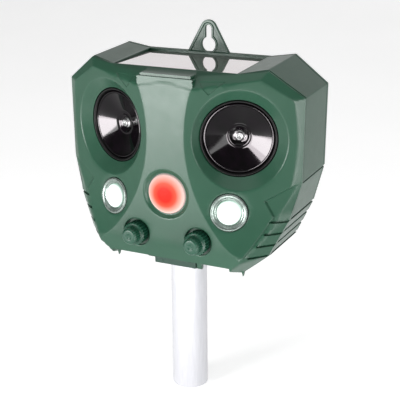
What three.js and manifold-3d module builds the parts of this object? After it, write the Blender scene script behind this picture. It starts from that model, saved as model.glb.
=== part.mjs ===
// Solar ultrasonic pest repeller on its stake tube, in millimetres, +Z up, front towards -Y.
// The head is laid out in its own frame: x = 0 on the centre plane, y = 0 at the front edge of the
// solar recess, z = 0 at the chin. The head group then sits on the stake, whose lower end is the origin.

import * as THREE from 'three';
import { mergeVertices } from 'three/addons/utils/BufferGeometryUtils.js';
import Module from 'manifold-3d';

const wasm = await Module();
wasm.setup();

// ---------------------------------------------------------------- driving dimensions

const [ROUND, MEDIUM, SMALL] = [32, 20, 12];   // segments around large, medium and small turned shapes
const GAP = 0.3;                 // clearance between touching pieces
const WALL = 2.4;                // wall of the mouldings

const STAKE_Y = 16.8;            // stake axis behind the head's y = 0
const STAKE_DROP = 92;           // stake end below the chin
const STAKE_RADIUS = 11;
const STAKE_BORE = 9.8;
const STAKE_TOP = 28;            // how far the tube runs up inside the head

const HALF_OUTLINE = [           // head outline seen from the front, right half: x, z
  [40.3, 110.8],                 // corner of the solar recess
  [55.1, 113.1],                 // ear
  [75.0, 98.0],                  // shoulder
  [74.3, 50.4],                  // break line of the side wall
  [68.1, 28.1],                  // first louvre
  [58.1, 7.4],                   // last louvre
  [41.7, -6.6],                  // foot ridge
  [38.6, -2.6],
  [38.6, 0],                     // chin
];
const DRAFT = 0.0004;            // the head grows upwards by this share per millimetre of depth
const STRIP_Y = -11.4;           // flat centre strip of the face
const LOBE_SLOPE = 0.33;         // each lobe falls back by this much per millimetre outwards
const WAIST = { x: 98, z: 74, radius: 86 };   // arc between the strip and the right lobe
const BACK_Y = 47.5;
const BACK_PLATE = 2.2;
const SEAM = { x: 40, y: 0.8, slope: 0.31 };  // parting line of front cover and housing

const SPEAKER = { x: 39.3, y: 2.0, z: 73.9, yaw: 20, radius: 21.9, dish: 27 };
const LED = { x: 37.3, z: 32.9, radius: 10.8, lens: 7.1 };
const PIR = { z: 40.1, lens: 11.7, recess: 14.5 };
const KNOB = { x: 20, z: 14.1, skirt: 6.7, cap: 5.0, tip: -20.9, well: 8.3, floor: -8.4, ridges: 24 };
const SHAFT_RADIUS = 3;
const RECESS = { halfWidth: 38.6, front: 2.4, back: 43.6, floor: 106.7 };
const LOUVRES = [[68.1, 28.1], [65.5, 21.1], [62.2, 14.1], [58.1, 7.4]];
const SLOT = { height: 1.3, depth: 1.7, reach: 9, frontDepth: 1.5, over: 8 };
const BREAK_Z = 50.4;
const BREAK = { height: 0.9, depth: 0.8, front: 11 };
const CHEEK = {                  // corners of the cheek facets of the right half: x, y, z
  top: [60.8, 0.94, 31.2],
  wallTop: [75, 10.6, 50.4],
  wallLow: [58.1, 2.4, 7.4],
  chin: [40.6, -9.1, 0],
  foot: [41.7, 4.2, -6.6],
};
const EAR = {                    // corners of the bevels round the ear: x, y, z
  recess: [40.3, 0, 110.8],
  brow: [48.4, -1.6, 107.6],
  tip: [55.1, 4.3, 113.1],
  temple: [62.4, 3.7, 102],
  shoulder: [75, 10.8, 98],
};
const LEDGES = { halfWidth: 17.5, steps: [[-11, 107.6], [-9.9, 109.2]] };   // y and top z of each
const NOTCH = { corners: [[19.5, 106.4], [34.6, 106.9], [25.6, 99.2]], depth: 0.9 };
const OPENING = { x: 12, front: -6, back: -0.6 };    // for the sockets, in the underside
const KNUCKLES = [[12.5, 15.6], [-13.2, -10]];       // x spans of the two hinge knuckles
const CELL = { radius: 7, length: 49.6, y: 37, z: [49, 65, 81] };
const TRAY = { x: 28.8, front: 28.4, back: 44.9, bottom: 40.4, top: 90 };
const DOOR = { x: 31, bottom: 36.5, top: 94 };
const TAB = { tip: 131.6, halfBase: 14.5, base: 110, round: 5.2, eye: 4.5, eyeZ: 117, slot: 2 };
const CASE_SCREWS = [[67.4, 88], [59.6, 25]];
const CLEARANCE_HOLE = 1.9;      // radius of the holes that the case screws pass through
const THREAD_HOLE = 1.7;         // radius of the holes that they bite into
const SCREW_POSTS = { front: 3.4, back: 5.8, meet: 13.7 };   // radii, and y where they meet
const DIAL_BOSS = 10.4;          // radius of the round wall behind each dial
const COLLAR = 13.2;             // outer radius of the stake socket
const FLAP = { left: -15, right: 12.2, front: -7, y: 3.6, z: -7.4, barrel: 1.5, bore: 1 };

// ---------------------------------------------------------------- solids

const X = new THREE.Vector3(1, 0, 0);
const Y = new THREE.Vector3(0, 1, 0);
const Z = new THREE.Vector3(0, 0, 1);
const FRONT = new THREE.Vector3(0, -1, 0);

function solid(geometry) {
  const bare = geometry.clone();
  bare.deleteAttribute('normal');
  bare.deleteAttribute('uv');
  const merged = mergeVertices(bare, 1e-4);
  const mesh = new wasm.Mesh({
    numProp: 3,
    vertProperties: new Float32Array(merged.attributes.position.array),
    triVerts: new Uint32Array(merged.index.array),
  });
  return new wasm.Manifold(mesh);
}

function geometryOf(manifold) {
  const mesh = manifold.getMesh();
  const geometry = new THREE.BufferGeometry();
  geometry.setAttribute('position', new THREE.BufferAttribute(new Float32Array(mesh.vertProperties), 3));
  geometry.setIndex(new THREE.BufferAttribute(new Uint32Array(mesh.triVerts), 1));
  const flat = geometry.toNonIndexed();
  flat.computeVertexNormals();
  return flat;
}

const join = (first, ...rest) => rest.reduce((sum, next) => sum.add(next), first);
const cut = (first, ...rest) => rest.reduce((sum, next) => sum.subtract(next), first);
const common = (first, ...rest) => rest.reduce((sum, next) => sum.intersect(next), first);

const shapeOf = (points) => new THREE.Shape(points.map(([a, b]) => new THREE.Vector2(a, b)));

// A flat outline drawn in the plane of axes u and v, extruded along w = u x v from one level to another.
function extruded(points, u, v, from, to, curveSegments = 12) {
  const shape = points instanceof THREE.Shape ? points : shapeOf(points);
  const w = new THREE.Vector3().crossVectors(u, v);
  const geometry = new THREE.ExtrudeGeometry(shape, { depth: to - from, bevelEnabled: false, curveSegments });
  geometry.translate(0, 0, from);
  geometry.applyMatrix4(new THREE.Matrix4().makeBasis(u, v, w));
  return geometry;
}

// The outline's x and z, extruded along y: u x v is -Y, so the levels swap sign.
const alongY = (points, y0, y1, curveSegments) => extruded(points, X, Z, -y1, -y0, curveSegments);
const alongX = (points, x0, x1, curveSegments) => extruded(points, Y, Z, x0, x1, curveSegments);
const alongZ = (points, z0, z1, curveSegments) => extruded(points, X, Y, z0, z1, curveSegments);

function block([x0, x1], [y0, y1], [z0, z1]) {
  const geometry = new THREE.BoxGeometry(x1 - x0, y1 - y0, z1 - z0);
  geometry.translate((x0 + x1) / 2, (y0 + y1) / 2, (z0 + z1) / 2);
  return geometry;
}

// A turned shape: profile points are [radius, height along axis], counter-clockwise around the material.
// It starts and ends on the axis, or closes on itself.
function turned(profile, segments = MEDIUM) {
  const onAxis = profile[0][0] === 0;
  const points = onAxis ? profile : [...profile, profile[0]];
  return new THREE.LatheGeometry(points.map(([r, h]) => new THREE.Vector2(r, h)), segments);
}

function aimed(geometry, at, axis) {
  const turn = new THREE.Quaternion().setFromUnitVectors(Y, axis);
  const matrix = new THREE.Matrix4().compose(at, turn, new THREE.Vector3(1, 1, 1));
  return geometry.clone().applyMatrix4(matrix);
}

function rod(radius, from, to, segments = MEDIUM) {
  const axis = new THREE.Vector3().subVectors(to, from);
  const length = axis.length();
  const profile = [[0, 0], [radius, 0], [radius, length], [0, length]];
  return aimed(turned(profile, segments), from, axis.normalize());
}

// Everything behind a plane that passes through a point and faces along a normal.
function behind(point, normal, offset = 0) {
  const size = 500;
  const geometry = new THREE.BoxGeometry(size, size, size);
  geometry.translate(0, -size / 2 - offset, 0);
  return solid(aimed(geometry, point, normal.clone().normalize()));
}

function planeThrough(a, b, c, offset) {
  const normal = new THREE.Vector3().crossVectors(b.clone().sub(a), c.clone().sub(a));
  return behind(a, normal, offset);
}

// Moves every edge of a closed outline inwards by a distance.
function inset(points, distance) {
  const area = points.reduce((sum, [x, z], i) => {
    const [nx, nz] = points[(i + 1) % points.length];
    return sum + (x * nz - nx * z) / 2;
  }, 0);
  const edges = points.map((p, i) => {
    const q = points[(i + 1) % points.length];
    const length = Math.hypot(q[0] - p[0], q[1] - p[1]);
    const normal = [-(q[1] - p[1]) / length * Math.sign(area), (q[0] - p[0]) / length * Math.sign(area)];
    return { normal, level: normal[0] * p[0] + normal[1] * p[1] + distance };
  });
  return points.map((_, i) => {
    const a = edges[(i + points.length - 1) % points.length];
    const b = edges[i];
    const det = a.normal[0] * b.normal[1] - a.normal[1] * b.normal[0];
    return [
      (a.level * b.normal[1] - b.level * a.normal[1]) / det,
      (a.normal[0] * b.level - b.normal[0] * a.level) / det,
    ];
  });
}

// ---------------------------------------------------------------- the head's outer form

const mirrored = (half) => [...half, ...[...half].reverse().map(([x, z]) => [-x, z])];
const OUTLINE = mirrored(HALF_OUTLINE);

const waistX = (z) => WAIST.x - Math.sqrt(WAIST.radius ** 2 - (z - WAIST.z) ** 2);
const lobeY = (x, z) => STRIP_Y + LOBE_SLOPE * (Math.abs(x) - waistX(z));
const at = (side, x, y, z) => new THREE.Vector3(side * x, y, z);

function drafted(geometry) {
  const position = geometry.attributes.position;
  for (let i = 0; i < position.count; i += 1) {
    position.setZ(i, position.getZ(i) * (1 + DRAFT * position.getY(i)));
  }
  return geometry;
}

// The lobe is the waist arc swept outwards and back along one straight direction.
function lobe(side, offset) {
  const angle = Math.atan(LOBE_SLOPE);
  const back = new THREE.Vector3(-side * Math.sin(angle), Math.cos(angle), 0);
  const steps = 10;
  const [low, high] = [-10, 125];
  const points = [[150, high], [150, low]];
  for (let i = 0; i <= steps; i += 1) {
    const z = low + (high - low) * i / steps;
    points.push([Math.cos(angle) * (STRIP_Y + offset) - Math.sin(angle) * waistX(z), z]);
  }
  return solid(extruded(points, back, Z, -200, 200));
}

// The bevels and lower facets of one side, as half-spaces.
function cheek(side, offset) {
  const top = at(side, ...CHEEK.top);
  const wall = [at(side, ...CHEEK.wallLow), at(side, ...CHEEK.wallTop)];
  const [first, second] = side > 0 ? wall : wall.reverse();
  return planeThrough(top, first, second, offset);
}

function facets(side, offset) {
  const p = (x, y, z) => at(side, x, y, z);
  const through = (a, b, c) => (side > 0 ? planeThrough(a, b, c, offset) : planeThrough(a, c, b, offset));
  return [
    behind(p(75, 10.8, 60), new THREE.Vector3(side * 0.8, -1, 0), offset),
    through(p(...EAR.tip), p(...EAR.temple), p(...EAR.shoulder)),
    through(p(...EAR.recess), p(...EAR.brow), p(...EAR.tip)),
    through(p(...CHEEK.wallLow), p(...CHEEK.chin), p(...CHEEK.foot)),
    cheek(side, offset),
  ];
}

function headForm(offset) {
  const outline = offset > 0 ? inset(OUTLINE, offset) : OUTLINE;
  const prism = solid(drafted(alongY(outline, -30, BACK_Y + 20)));
  return common(
    prism,
    behind(new THREE.Vector3(0, STRIP_Y, 0), FRONT, offset),
    behind(new THREE.Vector3(0, 0, 110.8), new THREE.Vector3(0, -4.8, 11.4), offset),
    behind(new THREE.Vector3(0, STRIP_Y, 10), new THREE.Vector3(0, -10, -2.3), offset),
    lobe(1, offset),
    lobe(-1, offset),
    ...facets(1, offset),
    ...facets(-1, offset),
  );
}

const outerForm = headForm(0);
const innerForm = headForm(WALL);

// Space in front of (or behind) the parting surface, which follows the two lobes.
function seamPrism(frontSide, gap) {
  const end = 100;
  const far = frontSide ? -80 : 90;
  const bend = SEAM.y + gap;
  const tip = bend + SEAM.slope * (end - SEAM.x);
  const outline = [[-end, far], [end, far], [end, tip], [SEAM.x, bend], [-SEAM.x, bend], [-end, tip]];
  return solid(alongZ(outline, -60, 160));
}

// ---------------------------------------------------------------- cutters shared by the mouldings

const speakerAxis = (side) => {
  const yaw = THREE.MathUtils.degToRad(SPEAKER.yaw);
  return new THREE.Vector3(side * Math.sin(yaw), -Math.cos(yaw), 0);
};
const ledAxis = (side) => {
  const drop = LED.z - WAIST.z;
  const waistTilt = drop / Math.sqrt(WAIST.radius ** 2 - drop ** 2);
  return new THREE.Vector3(side * LOBE_SLOPE, -1, -LOBE_SLOPE * waistTilt).normalize();
};
const speakerAt = (side) => at(side, SPEAKER.x, SPEAKER.y, SPEAKER.z);
const ledAt = (side) => at(side, LED.x, lobeY(LED.x, LED.z), LED.z);
const knobAt = (side, y) => at(side, KNOB.x, y, KNOB.z);

function screwHoles(radius, from, to) {
  return [-1, 1].flatMap((side) => CASE_SCREWS.map(([x, z]) => (
    solid(rod(radius, at(side, x, from, z), at(side, x, to, z), SMALL))
  )));
}

function louvreSlots() {
  const { height, depth, reach, frontDepth, over } = SLOT;
  return [-1, 1].flatMap((side) => {
    const core = cheek(side, frontDepth);
    return LOUVRES.flatMap(([x, z]) => {
      const span = (a, b) => [Math.min(side * a, side * b), Math.max(side * a, side * b)];
      const level = [z - height / 2, z + height / 2];
      const onWall = solid(block(span(x - depth, x + over), [-30, 80], level));
      const onCheek = cut(solid(block(span(x - reach, x + over), [-30, 40], level)), core);
      return [onWall, onCheek];
    });
  });
}


function breakGrooves() {
  const [breakX] = HALF_OUTLINE[3];
  return [-1, 1].map((side) => {
    const inner = side * (breakX - BREAK.depth);
    const span = side > 0 ? [inner, 90] : [-90, inner];
    return solid(drafted(block(span, [BREAK.front, 80], [BREAK_Z - BREAK.height, BREAK_Z])));
  });
}

// ---------------------------------------------------------------- front cover

function frontCover() {
  const shell = cut(outerForm, innerForm);
  const dishes = [-1, 1].map((side) => solid(aimed(turned([
    [SPEAKER.radius + 0.3, -WALL],
    [SPEAKER.dish + 1, -WALL],
    [SPEAKER.dish + 1, 12],
    [SPEAKER.radius + 0.3, 12],
  ], ROUND), speakerAt(side), speakerAxis(side))));
  const bosses = [-1, 1].map((side) => (
    solid(rod(DIAL_BOSS, knobAt(side, -30), knobAt(side, KNOB.floor + WALL)))
  ));
  const posts = [-1, 1].flatMap((side) => CASE_SCREWS.map(([x, z], i) => (
    solid(rod(SCREW_POSTS.front, at(side, x, i === 0 ? 8 : 0, z), at(side, x, SCREW_POSTS.meet, z), SMALL))
  )));
  const ledges = LEDGES.steps.map(([front, top]) => (
    solid(block([-LEDGES.halfWidth, LEDGES.halfWidth], [front, 3], [100, top]))
  ));
  const bowls = common(join(dishes[0], dishes[1]), outerForm);
  const wells = common(join(bosses[0], bosses[1]), outerForm);
  const inFront = seamPrism(true, 0);
  const screwPosts = common(join(posts[0], ...posts.slice(1)), outerForm);
  const body = join(common(join(shell, wells, ...ledges), inFront), bowls, screwPosts);
  const cones = [-1, 1].flatMap((side) => [
    solid(aimed(turned([
      [0, -20], [SPEAKER.radius + 0.3, -20], [SPEAKER.radius + 0.3, 0], [SPEAKER.dish, 4.2],
      [SPEAKER.dish + 6.5, 9.4], [0, 9.4],
    ], ROUND), speakerAt(side), speakerAxis(side))),
    solid(aimed(turned([[0, -20], [LED.radius + 0.2, -20], [LED.radius + 0.2, 20], [0, 20]], ROUND),
      ledAt(side), ledAxis(side))),
    solid(rod(KNOB.well, knobAt(side, -40), knobAt(side, KNOB.floor))),
    solid(rod(SHAFT_RADIUS + 0.5, knobAt(side, -40), knobAt(side, 5), SMALL)),
  ]);
  const pir = solid(aimed(turned([
    [0, -10], [PIR.lens + 0.3, -10], [PIR.lens + 0.3, -1.8], [PIR.recess, 0], [PIR.recess, 4], [0, 4],
  ], ROUND), new THREE.Vector3(0, STRIP_Y, PIR.z), FRONT));
  const notches = [-1, 1].map((side) => {
    const prism = solid(alongY(NOTCH.corners.map(([x, z]) => [side * x, z]), -30, 20));
    return cut(prism, lobe(side, NOTCH.depth));
  });
  const ioOpening = solid(block([-OPENING.x, OPENING.x], [OPENING.front, OPENING.back], [-20, 6]));
  const threads = screwHoles(THREAD_HOLE, 9.2, 60);
  return cut(body, ...cones, pir, ...notches, ioOpening, ...louvreSlots(), ...threads);
}

// ---------------------------------------------------------------- main housing, back cover, battery door

function mainHousing() {
  const behindSeam = seamPrism(false, GAP);
  const beforeBack = behind(new THREE.Vector3(0, BACK_Y - BACK_PLATE - GAP, 0), Y);
  const shell = cut(outerForm, innerForm);
  const recessWalls = common(outerForm, solid(block(
    [-RECESS.halfWidth - WALL, RECESS.halfWidth + WALL],
    [RECESS.front - 1.6, RECESS.back + 1.4],
    [RECESS.floor - WALL, 130],
  )));
  const posts = [-1, 1].flatMap((side) => CASE_SCREWS.map(([x, z]) => (
    solid(rod(SCREW_POSTS.back, at(side, x, SCREW_POSTS.meet + GAP, z), at(side, x, 60, z), SMALL))
  )));
  const postBlock = join(posts[0], ...posts.slice(1));
  const body = common(join(shell, recessWalls, common(postBlock, outerForm)), behindSeam, beforeBack);
  const ears = KNUCKLES.map(([x0, x1]) => {
    const r = FLAP.barrel;
    const shape = new THREE.Shape();
    shape.moveTo(FLAP.y - r, 0.5);
    shape.lineTo(FLAP.y - r, FLAP.z);
    shape.absarc(FLAP.y, FLAP.z, r, Math.PI, 2 * Math.PI);
    shape.lineTo(FLAP.y + r, 0.5);
    return solid(alongX(shape, x0, x1, 8));
  });
  const nubs = [-1, 1].map((side) => solid(extruded(
    [[side * 40.6, -5], [side * 42.6, -5.4], [side * 41.7, -9]], X, Z, -5.6, -3.4,
  )));
  const pocket = solid(block(
    [-RECESS.halfWidth, RECESS.halfWidth], [RECESS.front, RECESS.back], [RECESS.floor, 140],
  ));
  const wireHole = solid(block([-4, 4], [18, 26], [95, 108]));
  const onStake = (z) => new THREE.Vector3(0, STAKE_Y, z);
  const onHinge = (x) => new THREE.Vector3(x, FLAP.y, FLAP.z);
  const stakeHole = solid(rod(COLLAR + GAP, onStake(-20), onStake(8), ROUND));
  const pinBore = solid(rod(FLAP.bore, onHinge(-12.6), onHinge(15.2), SMALL));
  return cut(
    join(body, ...ears, ...nubs),
    pocket, wireHole, stakeHole, pinBore,
    ...louvreSlots(), ...breakGrooves(), ...screwHoles(CLEARANCE_HOLE, 0, 60),
  );
}

function tabShape() {
  const shape = new THREE.Shape();
  const top = TAB.tip - TAB.round;
  const lean = Math.atan2(TAB.halfBase - TAB.round, top - TAB.base);
  shape.moveTo(-TAB.halfBase, TAB.base - 8);
  shape.lineTo(TAB.halfBase, TAB.base - 8);
  shape.lineTo(TAB.halfBase, TAB.base + 1);
  shape.absarc(0, top, TAB.round, lean, Math.PI - lean);
  shape.lineTo(-TAB.halfBase, TAB.base + 1);
  const eye = new THREE.Path();
  const neck = Math.acos(TAB.slot / TAB.eye);
  eye.absarc(0, TAB.eyeZ, TAB.eye, Math.PI - neck, neck + 2 * Math.PI);
  eye.absarc(0, TAB.tip - 5, TAB.slot, 0, Math.PI);
  shape.holes.push(eye);
  return shape;
}

function backCover() {
  const plate = common(
    outerForm,
    behind(new THREE.Vector3(0, BACK_Y, 0), Y),
    behind(new THREE.Vector3(0, BACK_Y - BACK_PLATE, 0), FRONT),
  );
  const doorway = solid(alongY(doorOutline(0), 0, 80));
  const tab = solid(alongY(tabShape(), BACK_Y - BACK_PLATE, BACK_Y, 10));
  const counterbores = screwHoles(3.4, BACK_Y - 1.5, 80);
  const holes = [doorway, ...counterbores, ...screwHoles(CLEARANCE_HOLE, 0, 80)];
  return cut(join(plate, tab), ...holes, ...louvreSlots(), ...breakGrooves());
}

function doorOutline(gap) {
  const [ear, drop] = [6, 7];
  return [
    [-DOOR.x + gap, DOOR.top - gap], [-DOOR.x + gap, DOOR.bottom + gap],
    [-ear + gap, DOOR.bottom + gap], [-ear + gap, DOOR.bottom - drop + gap],
    [ear - gap, DOOR.bottom - drop + gap], [ear - gap, DOOR.bottom + gap],
    [DOOR.x - gap, DOOR.bottom + gap], [DOOR.x - gap, DOOR.top - gap],
  ];
}

const DOOR_SCREW = { z: 33.2, head: 2.8, shank: 1.4 };

function batteryDoor() {
  const plate = solid(alongY(doorOutline(GAP), BACK_Y - 2, BACK_Y));
  const point = (y) => new THREE.Vector3(0, y, DOOR_SCREW.z);
  const seat = solid(rod(DOOR_SCREW.head + 0.3, point(BACK_Y - 1.2), point(60)));
  const hole = solid(rod(DOOR_SCREW.shank + 0.3, point(30), point(60), SMALL));
  return cut(plate, seat, hole);
}

function batteryTray() {
  const outer = solid(block([-TRAY.x, TRAY.x], [TRAY.front, TRAY.back], [TRAY.bottom, TRAY.top]));
  const hollow = solid(block(
    [-TRAY.x + 1.4, TRAY.x - 1.4], [TRAY.front + 1.4, 60], [TRAY.bottom + 1.4, TRAY.top - 1.4],
  ));
  const lug = solid(block([-5, 5], [36, TRAY.back], [29.5, TRAY.bottom + 1]));
  const point = (y) => new THREE.Vector3(0, y, DOOR_SCREW.z);
  const bore = solid(rod(DOOR_SCREW.shank + GAP, point(38), point(60), SMALL));
  return cut(join(outer, lug), hollow, bore);
}

function screw(head, shank, headHeight, length) {
  const driver = solid(new THREE.BoxGeometry(head * 1.1, 1.2, 0.8));
  const cross = solid(new THREE.BoxGeometry(0.8, 1.2, head * 1.1));
  const body = solid(turned([
    [0, -length], [shank * 0.5, -length], [shank, -length + 1.5], [shank, -headHeight],
    [head, -headHeight], [head, -0.35], [head * 0.75, 0], [0, 0],
  ], SMALL));
  return cut(body, driver, cross);
}

// ---------------------------------------------------------------- scene graph

const LOOKS = {
  green: { color: 0x2f5f48, roughness: 0.45, metalness: 0 },
  knobGreen: { color: 0x1f5640, roughness: 0.4, metalness: 0 },
  blackGloss: { color: 0x0c0a0c, roughness: 0.15, metalness: 0 },
  blackPlastic: { color: 0x161616, roughness: 0.5, metalness: 0 },
  rubber: { color: 0x1c3328, roughness: 0.8, metalness: 0 },
  steel: { color: 0xb8b8b8, roughness: 0.3, metalness: 1 },
  tube: { color: 0xe6e6ea, roughness: 0.35, metalness: 0.3 },
  board: { color: 0x0e4a2c, roughness: 0.5, metalness: 0 },
  led: { color: 0xffffff, roughness: 0.2, metalness: 0 },
  chip: { color: 0xf3e38a, roughness: 0.4, metalness: 0 },
  bezel: { color: 0x9aa39c, roughness: 0.25, metalness: 0.6 },
  pirLens: { color: 0xf3dcd8, roughness: 0.35, metalness: 0 },
  solar: { color: 0x2a2430, roughness: 0.1, metalness: 0 },
  window: { color: 0xd8c3c6, roughness: 0.05, metalness: 0 },
  cell: { color: 0x3a7a4a, roughness: 0.4, metalness: 0.2 },
};

function piece(name, source, look) {
  const geometry = source instanceof THREE.BufferGeometry ? source : geometryOf(source);
  const mesh = new THREE.Mesh(geometry, new THREE.MeshStandardMaterial(LOOKS[look]));
  mesh.name = name;
  return mesh;
}

function aimedPiece(name, source, look, position, axis) {
  const mesh = piece(name, source, look);
  mesh.position.copy(position);
  mesh.quaternion.setFromUnitVectors(Y, axis);
  return mesh;
}

const head = new THREE.Group();
head.position.set(0, -STAKE_Y, STAKE_DROP);

const sides = [['left', -1], ['right', 1]];

function addHousing() {
  head.add(piece('front_cover', frontCover(), 'green'));
  head.add(piece('main_housing', mainHousing(), 'green'));
  head.add(piece('back_cover', backCover(), 'green'));
  head.add(piece('battery_door', batteryDoor(), 'green'));
  for (const [name, side] of sides) {
    CASE_SCREWS.forEach(([x, z], i) => {
      const level = i === 0 ? 'upper' : 'lower';
      const body = screw(3, 1.5, 1, 34);
      head.add(aimedPiece(`case_screw_${level}_${name}`, body, 'steel', at(side, x, BACK_Y - 0.2, z), Y));
    });
  }
}

function addSpeakers() {
  const frame = turned([
    [6, -15], [11.5, -15], [22.4, -4.8], [25, -4.8], [25, -2.8], [21.7, -2.8], [21.7, 0], [20.8, 0],
    [20.2, -1], [21.2, -4.2], [10.9, -13.6], [6, -13.6],
  ], ROUND);
  const cone = turned([[3.4, -9.4], [19.9, -3.2], [20.0, -1.6], [18.6, -1.2], [3.4, -8.2]], ROUND);
  const dome = turned([[0, -9.6], [3.1, -9.6], [3.1, -7.4], [2.5, -6.4], [1.3, -5.8], [0, -5.6]], SMALL);
  const magnet = turned([[0, -20], [10, -20], [10, -15.3], [5.7, -15.3], [5.7, -10], [0, -10]], MEDIUM);
  for (const [name, side] of sides) {
    const place = [speakerAt(side), speakerAxis(side)];
    head.add(aimedPiece(`speaker_frame_${name}`, frame, 'blackPlastic', ...place));
    head.add(aimedPiece(`speaker_cone_${name}`, cone, 'blackGloss', ...place));
    head.add(aimedPiece(`speaker_dome_${name}`, dome, 'steel', ...place));
    head.add(aimedPiece(`speaker_magnet_${name}`, magnet, 'steel', ...place));
  }
}

function addLights() {
  const { radius, lens } = LED;
  const bezel = turned([
    [lens + GAP, -4.2], [radius + 1.4, -4.2], [radius + 1.4, -2.8], [radius - 0.1, -2.8],
    [radius - 0.1, 0.4], [radius - 0.9, 0.9], [lens + 1.4, 0.4], [lens + GAP, -0.4],
  ], ROUND);
  const dome = turned([
    [0, -4], [lens, -4], [lens, -0.4], [lens * 0.8, 0.8], [lens * 0.45, 1.5], [0, 1.8],
  ], MEDIUM);
  const board = turned([[0, -8], [9.5, -8], [9.5, -6.4], [0, -6.4]], MEDIUM);
  for (const [name, side] of sides) {
    const place = [ledAt(side), ledAxis(side)];
    head.add(aimedPiece(`led_bezel_${name}`, bezel, 'bezel', ...place));
    head.add(aimedPiece(`led_lens_${name}`, dome, 'led', ...place));
    head.add(aimedPiece(`led_board_${name}`, board, 'board', ...place));
    const chip = new THREE.BoxGeometry(5, 1.2, 5);
    chip.translate(0, -5.4, 0);
    head.add(aimedPiece(`led_chip_${name}`, chip, 'chip', ...place));
  }
}

function addMotionSensor() {
  const { lens } = PIR;
  const place = [new THREE.Vector3(0, STRIP_Y, PIR.z), FRONT];
  const steps = 4;
  const cap = (radius, height, base) => Array.from({ length: steps + 1 }, (_, i) => {
    const angle = (Math.PI / 2) * (i / steps);
    return [radius * Math.cos(angle), base + height * Math.sin(angle)];
  });
  const outer = cap(lens, 3, -1.2);
  const inner = cap(lens - 1, 2.6, -1.8).reverse();
  inner[0][0] = 0;
  outer[steps][0] = 0;
  const profile = [...inner, [lens - 1, -4.4], [lens + 2, -4.4], [lens + 2, -2.8], [lens, -2.8], ...outer];
  head.add(aimedPiece('pir_lens', turned(profile, ROUND), 'pirLens', ...place));
  const can = turned([[0, -14], [5, -14], [5, -13.2], [4.3, -13.2], [4.3, -9.6], [0, -9.6]], SMALL);
  head.add(aimedPiece('pir_sensor', can, 'steel', ...place));
  const board = block([-13, 13], [-15.9, -14.3], [-9, 9]);
  head.add(aimedPiece('pir_board', board, 'board', ...place));
}

function knob() {
  const length = KNOB.floor - GAP - KNOB.tip;
  const shape = new THREE.Shape();
  const steps = KNOB.ridges * 4;
  for (let i = 0; i < steps; i += 1) {
    const angle = 2 * Math.PI * i / steps;
    const radius = KNOB.skirt + (i % 4 < 2 ? 0.25 : -0.25);
    const step = i === 0 ? 'moveTo' : 'lineTo';
    shape[step](radius * Math.cos(angle), radius * Math.sin(angle));
  }
  const skirt = solid(extruded(shape, Z, X, 0, 6.6));
  const cap = solid(turned([
    [0, 2], [KNOB.cap, 2], [KNOB.cap, length - 0.8], [KNOB.cap - 0.8, length], [0, length],
  ], MEDIUM));
  const pointer = solid(block([-0.5, 0.5], [6, length - 0.4], [KNOB.cap - 0.6, KNOB.cap + 0.5]));
  const bore = solid(turned([[0, -1], [SHAFT_RADIUS + GAP, -1], [SHAFT_RADIUS + GAP, 9], [0, 9]], SMALL));
  return cut(join(skirt, cap, pointer), bore);
}

function addControls() {
  const shaft = turned([[0, 0], [SHAFT_RADIUS, 0], [SHAFT_RADIUS, 17.2], [0, 17.2]], SMALL);
  const body = turned([
    [0, 0], [8, 0], [8, 7.4], [SHAFT_RADIUS + GAP, 7.4], [SHAFT_RADIUS + GAP, 1.3], [0, 1.3],
  ], MEDIUM);
  for (const [name, side] of sides) {
    head.add(aimedPiece(`knob_${name}`, knob(), 'knobGreen', knobAt(side, KNOB.floor - GAP), FRONT));
    head.add(aimedPiece(`knob_shaft_${name}`, shaft, 'steel', knobAt(side, 0.4), FRONT));
    head.add(aimedPiece(`potentiometer_${name}`, body, 'blackPlastic', knobAt(side, 2), FRONT));
  }
}

function addBottomSockets() {
  const switchBody = cut(
    solid(block([-11, -2], [-5.6, -1], [2.2, 7])),
    solid(block([-10, -3], [-4.6, -2], [1, 4.5])),
  );
  const slider = join(
    solid(block([-9.6, -6.6], [-4.2, -2.4], [0.4, 2.8])),
    solid(block([-9.6, -6.6], [-4.2, -2.4], [2.5, 4.1])),
  );
  const socket = cut(
    solid(block([3, 10.6], [-4.9, -1.9], [1, 7])),
    solid(block([3.5, 10.1], [-4.4, -2.4], [-1, 5.5])),
  );
  head.add(piece('power_switch_body', switchBody, 'steel'));
  head.add(piece('power_switch_slider', slider, 'blackPlastic'));
  head.add(piece('charging_socket', socket, 'steel'));
  head.add(piece('socket_board', block([-13, 13], [-5.6, 0], [7.3, 8.7]), 'board'));
}

function addFlap() {
  const { left, right, front, y, z, barrel } = FLAP;
  const wedge = solid(alongX([
    [front, -0.4], [2.6, -0.4], [2.6, z + 1], [y, z + 1],
    [y, z - 0.5], [1.2, z - 1.2], [0.8, -4.2], [front, -1],
  ], left, right));
  const leftEar = solid(block([-14.6, -9.6], [1.9, 8], [-12, -0.1]));
  const rod1 = solid(rod(barrel, new THREE.Vector3(-9.7, y, z), new THREE.Vector3(right, y, z)));
  const bore = solid(rod(FLAP.bore, new THREE.Vector3(-30, y, z), new THREE.Vector3(30, y, z), SMALL));
  head.add(piece('weather_flap', cut(join(cut(wedge, leftEar), rod1), bore), 'rubber'));
  const pin = rod(0.7, new THREE.Vector3(-12.3, y, z), new THREE.Vector3(14.9, y, z), SMALL);
  head.add(piece('flap_pin', pin, 'steel'));
}

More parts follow.
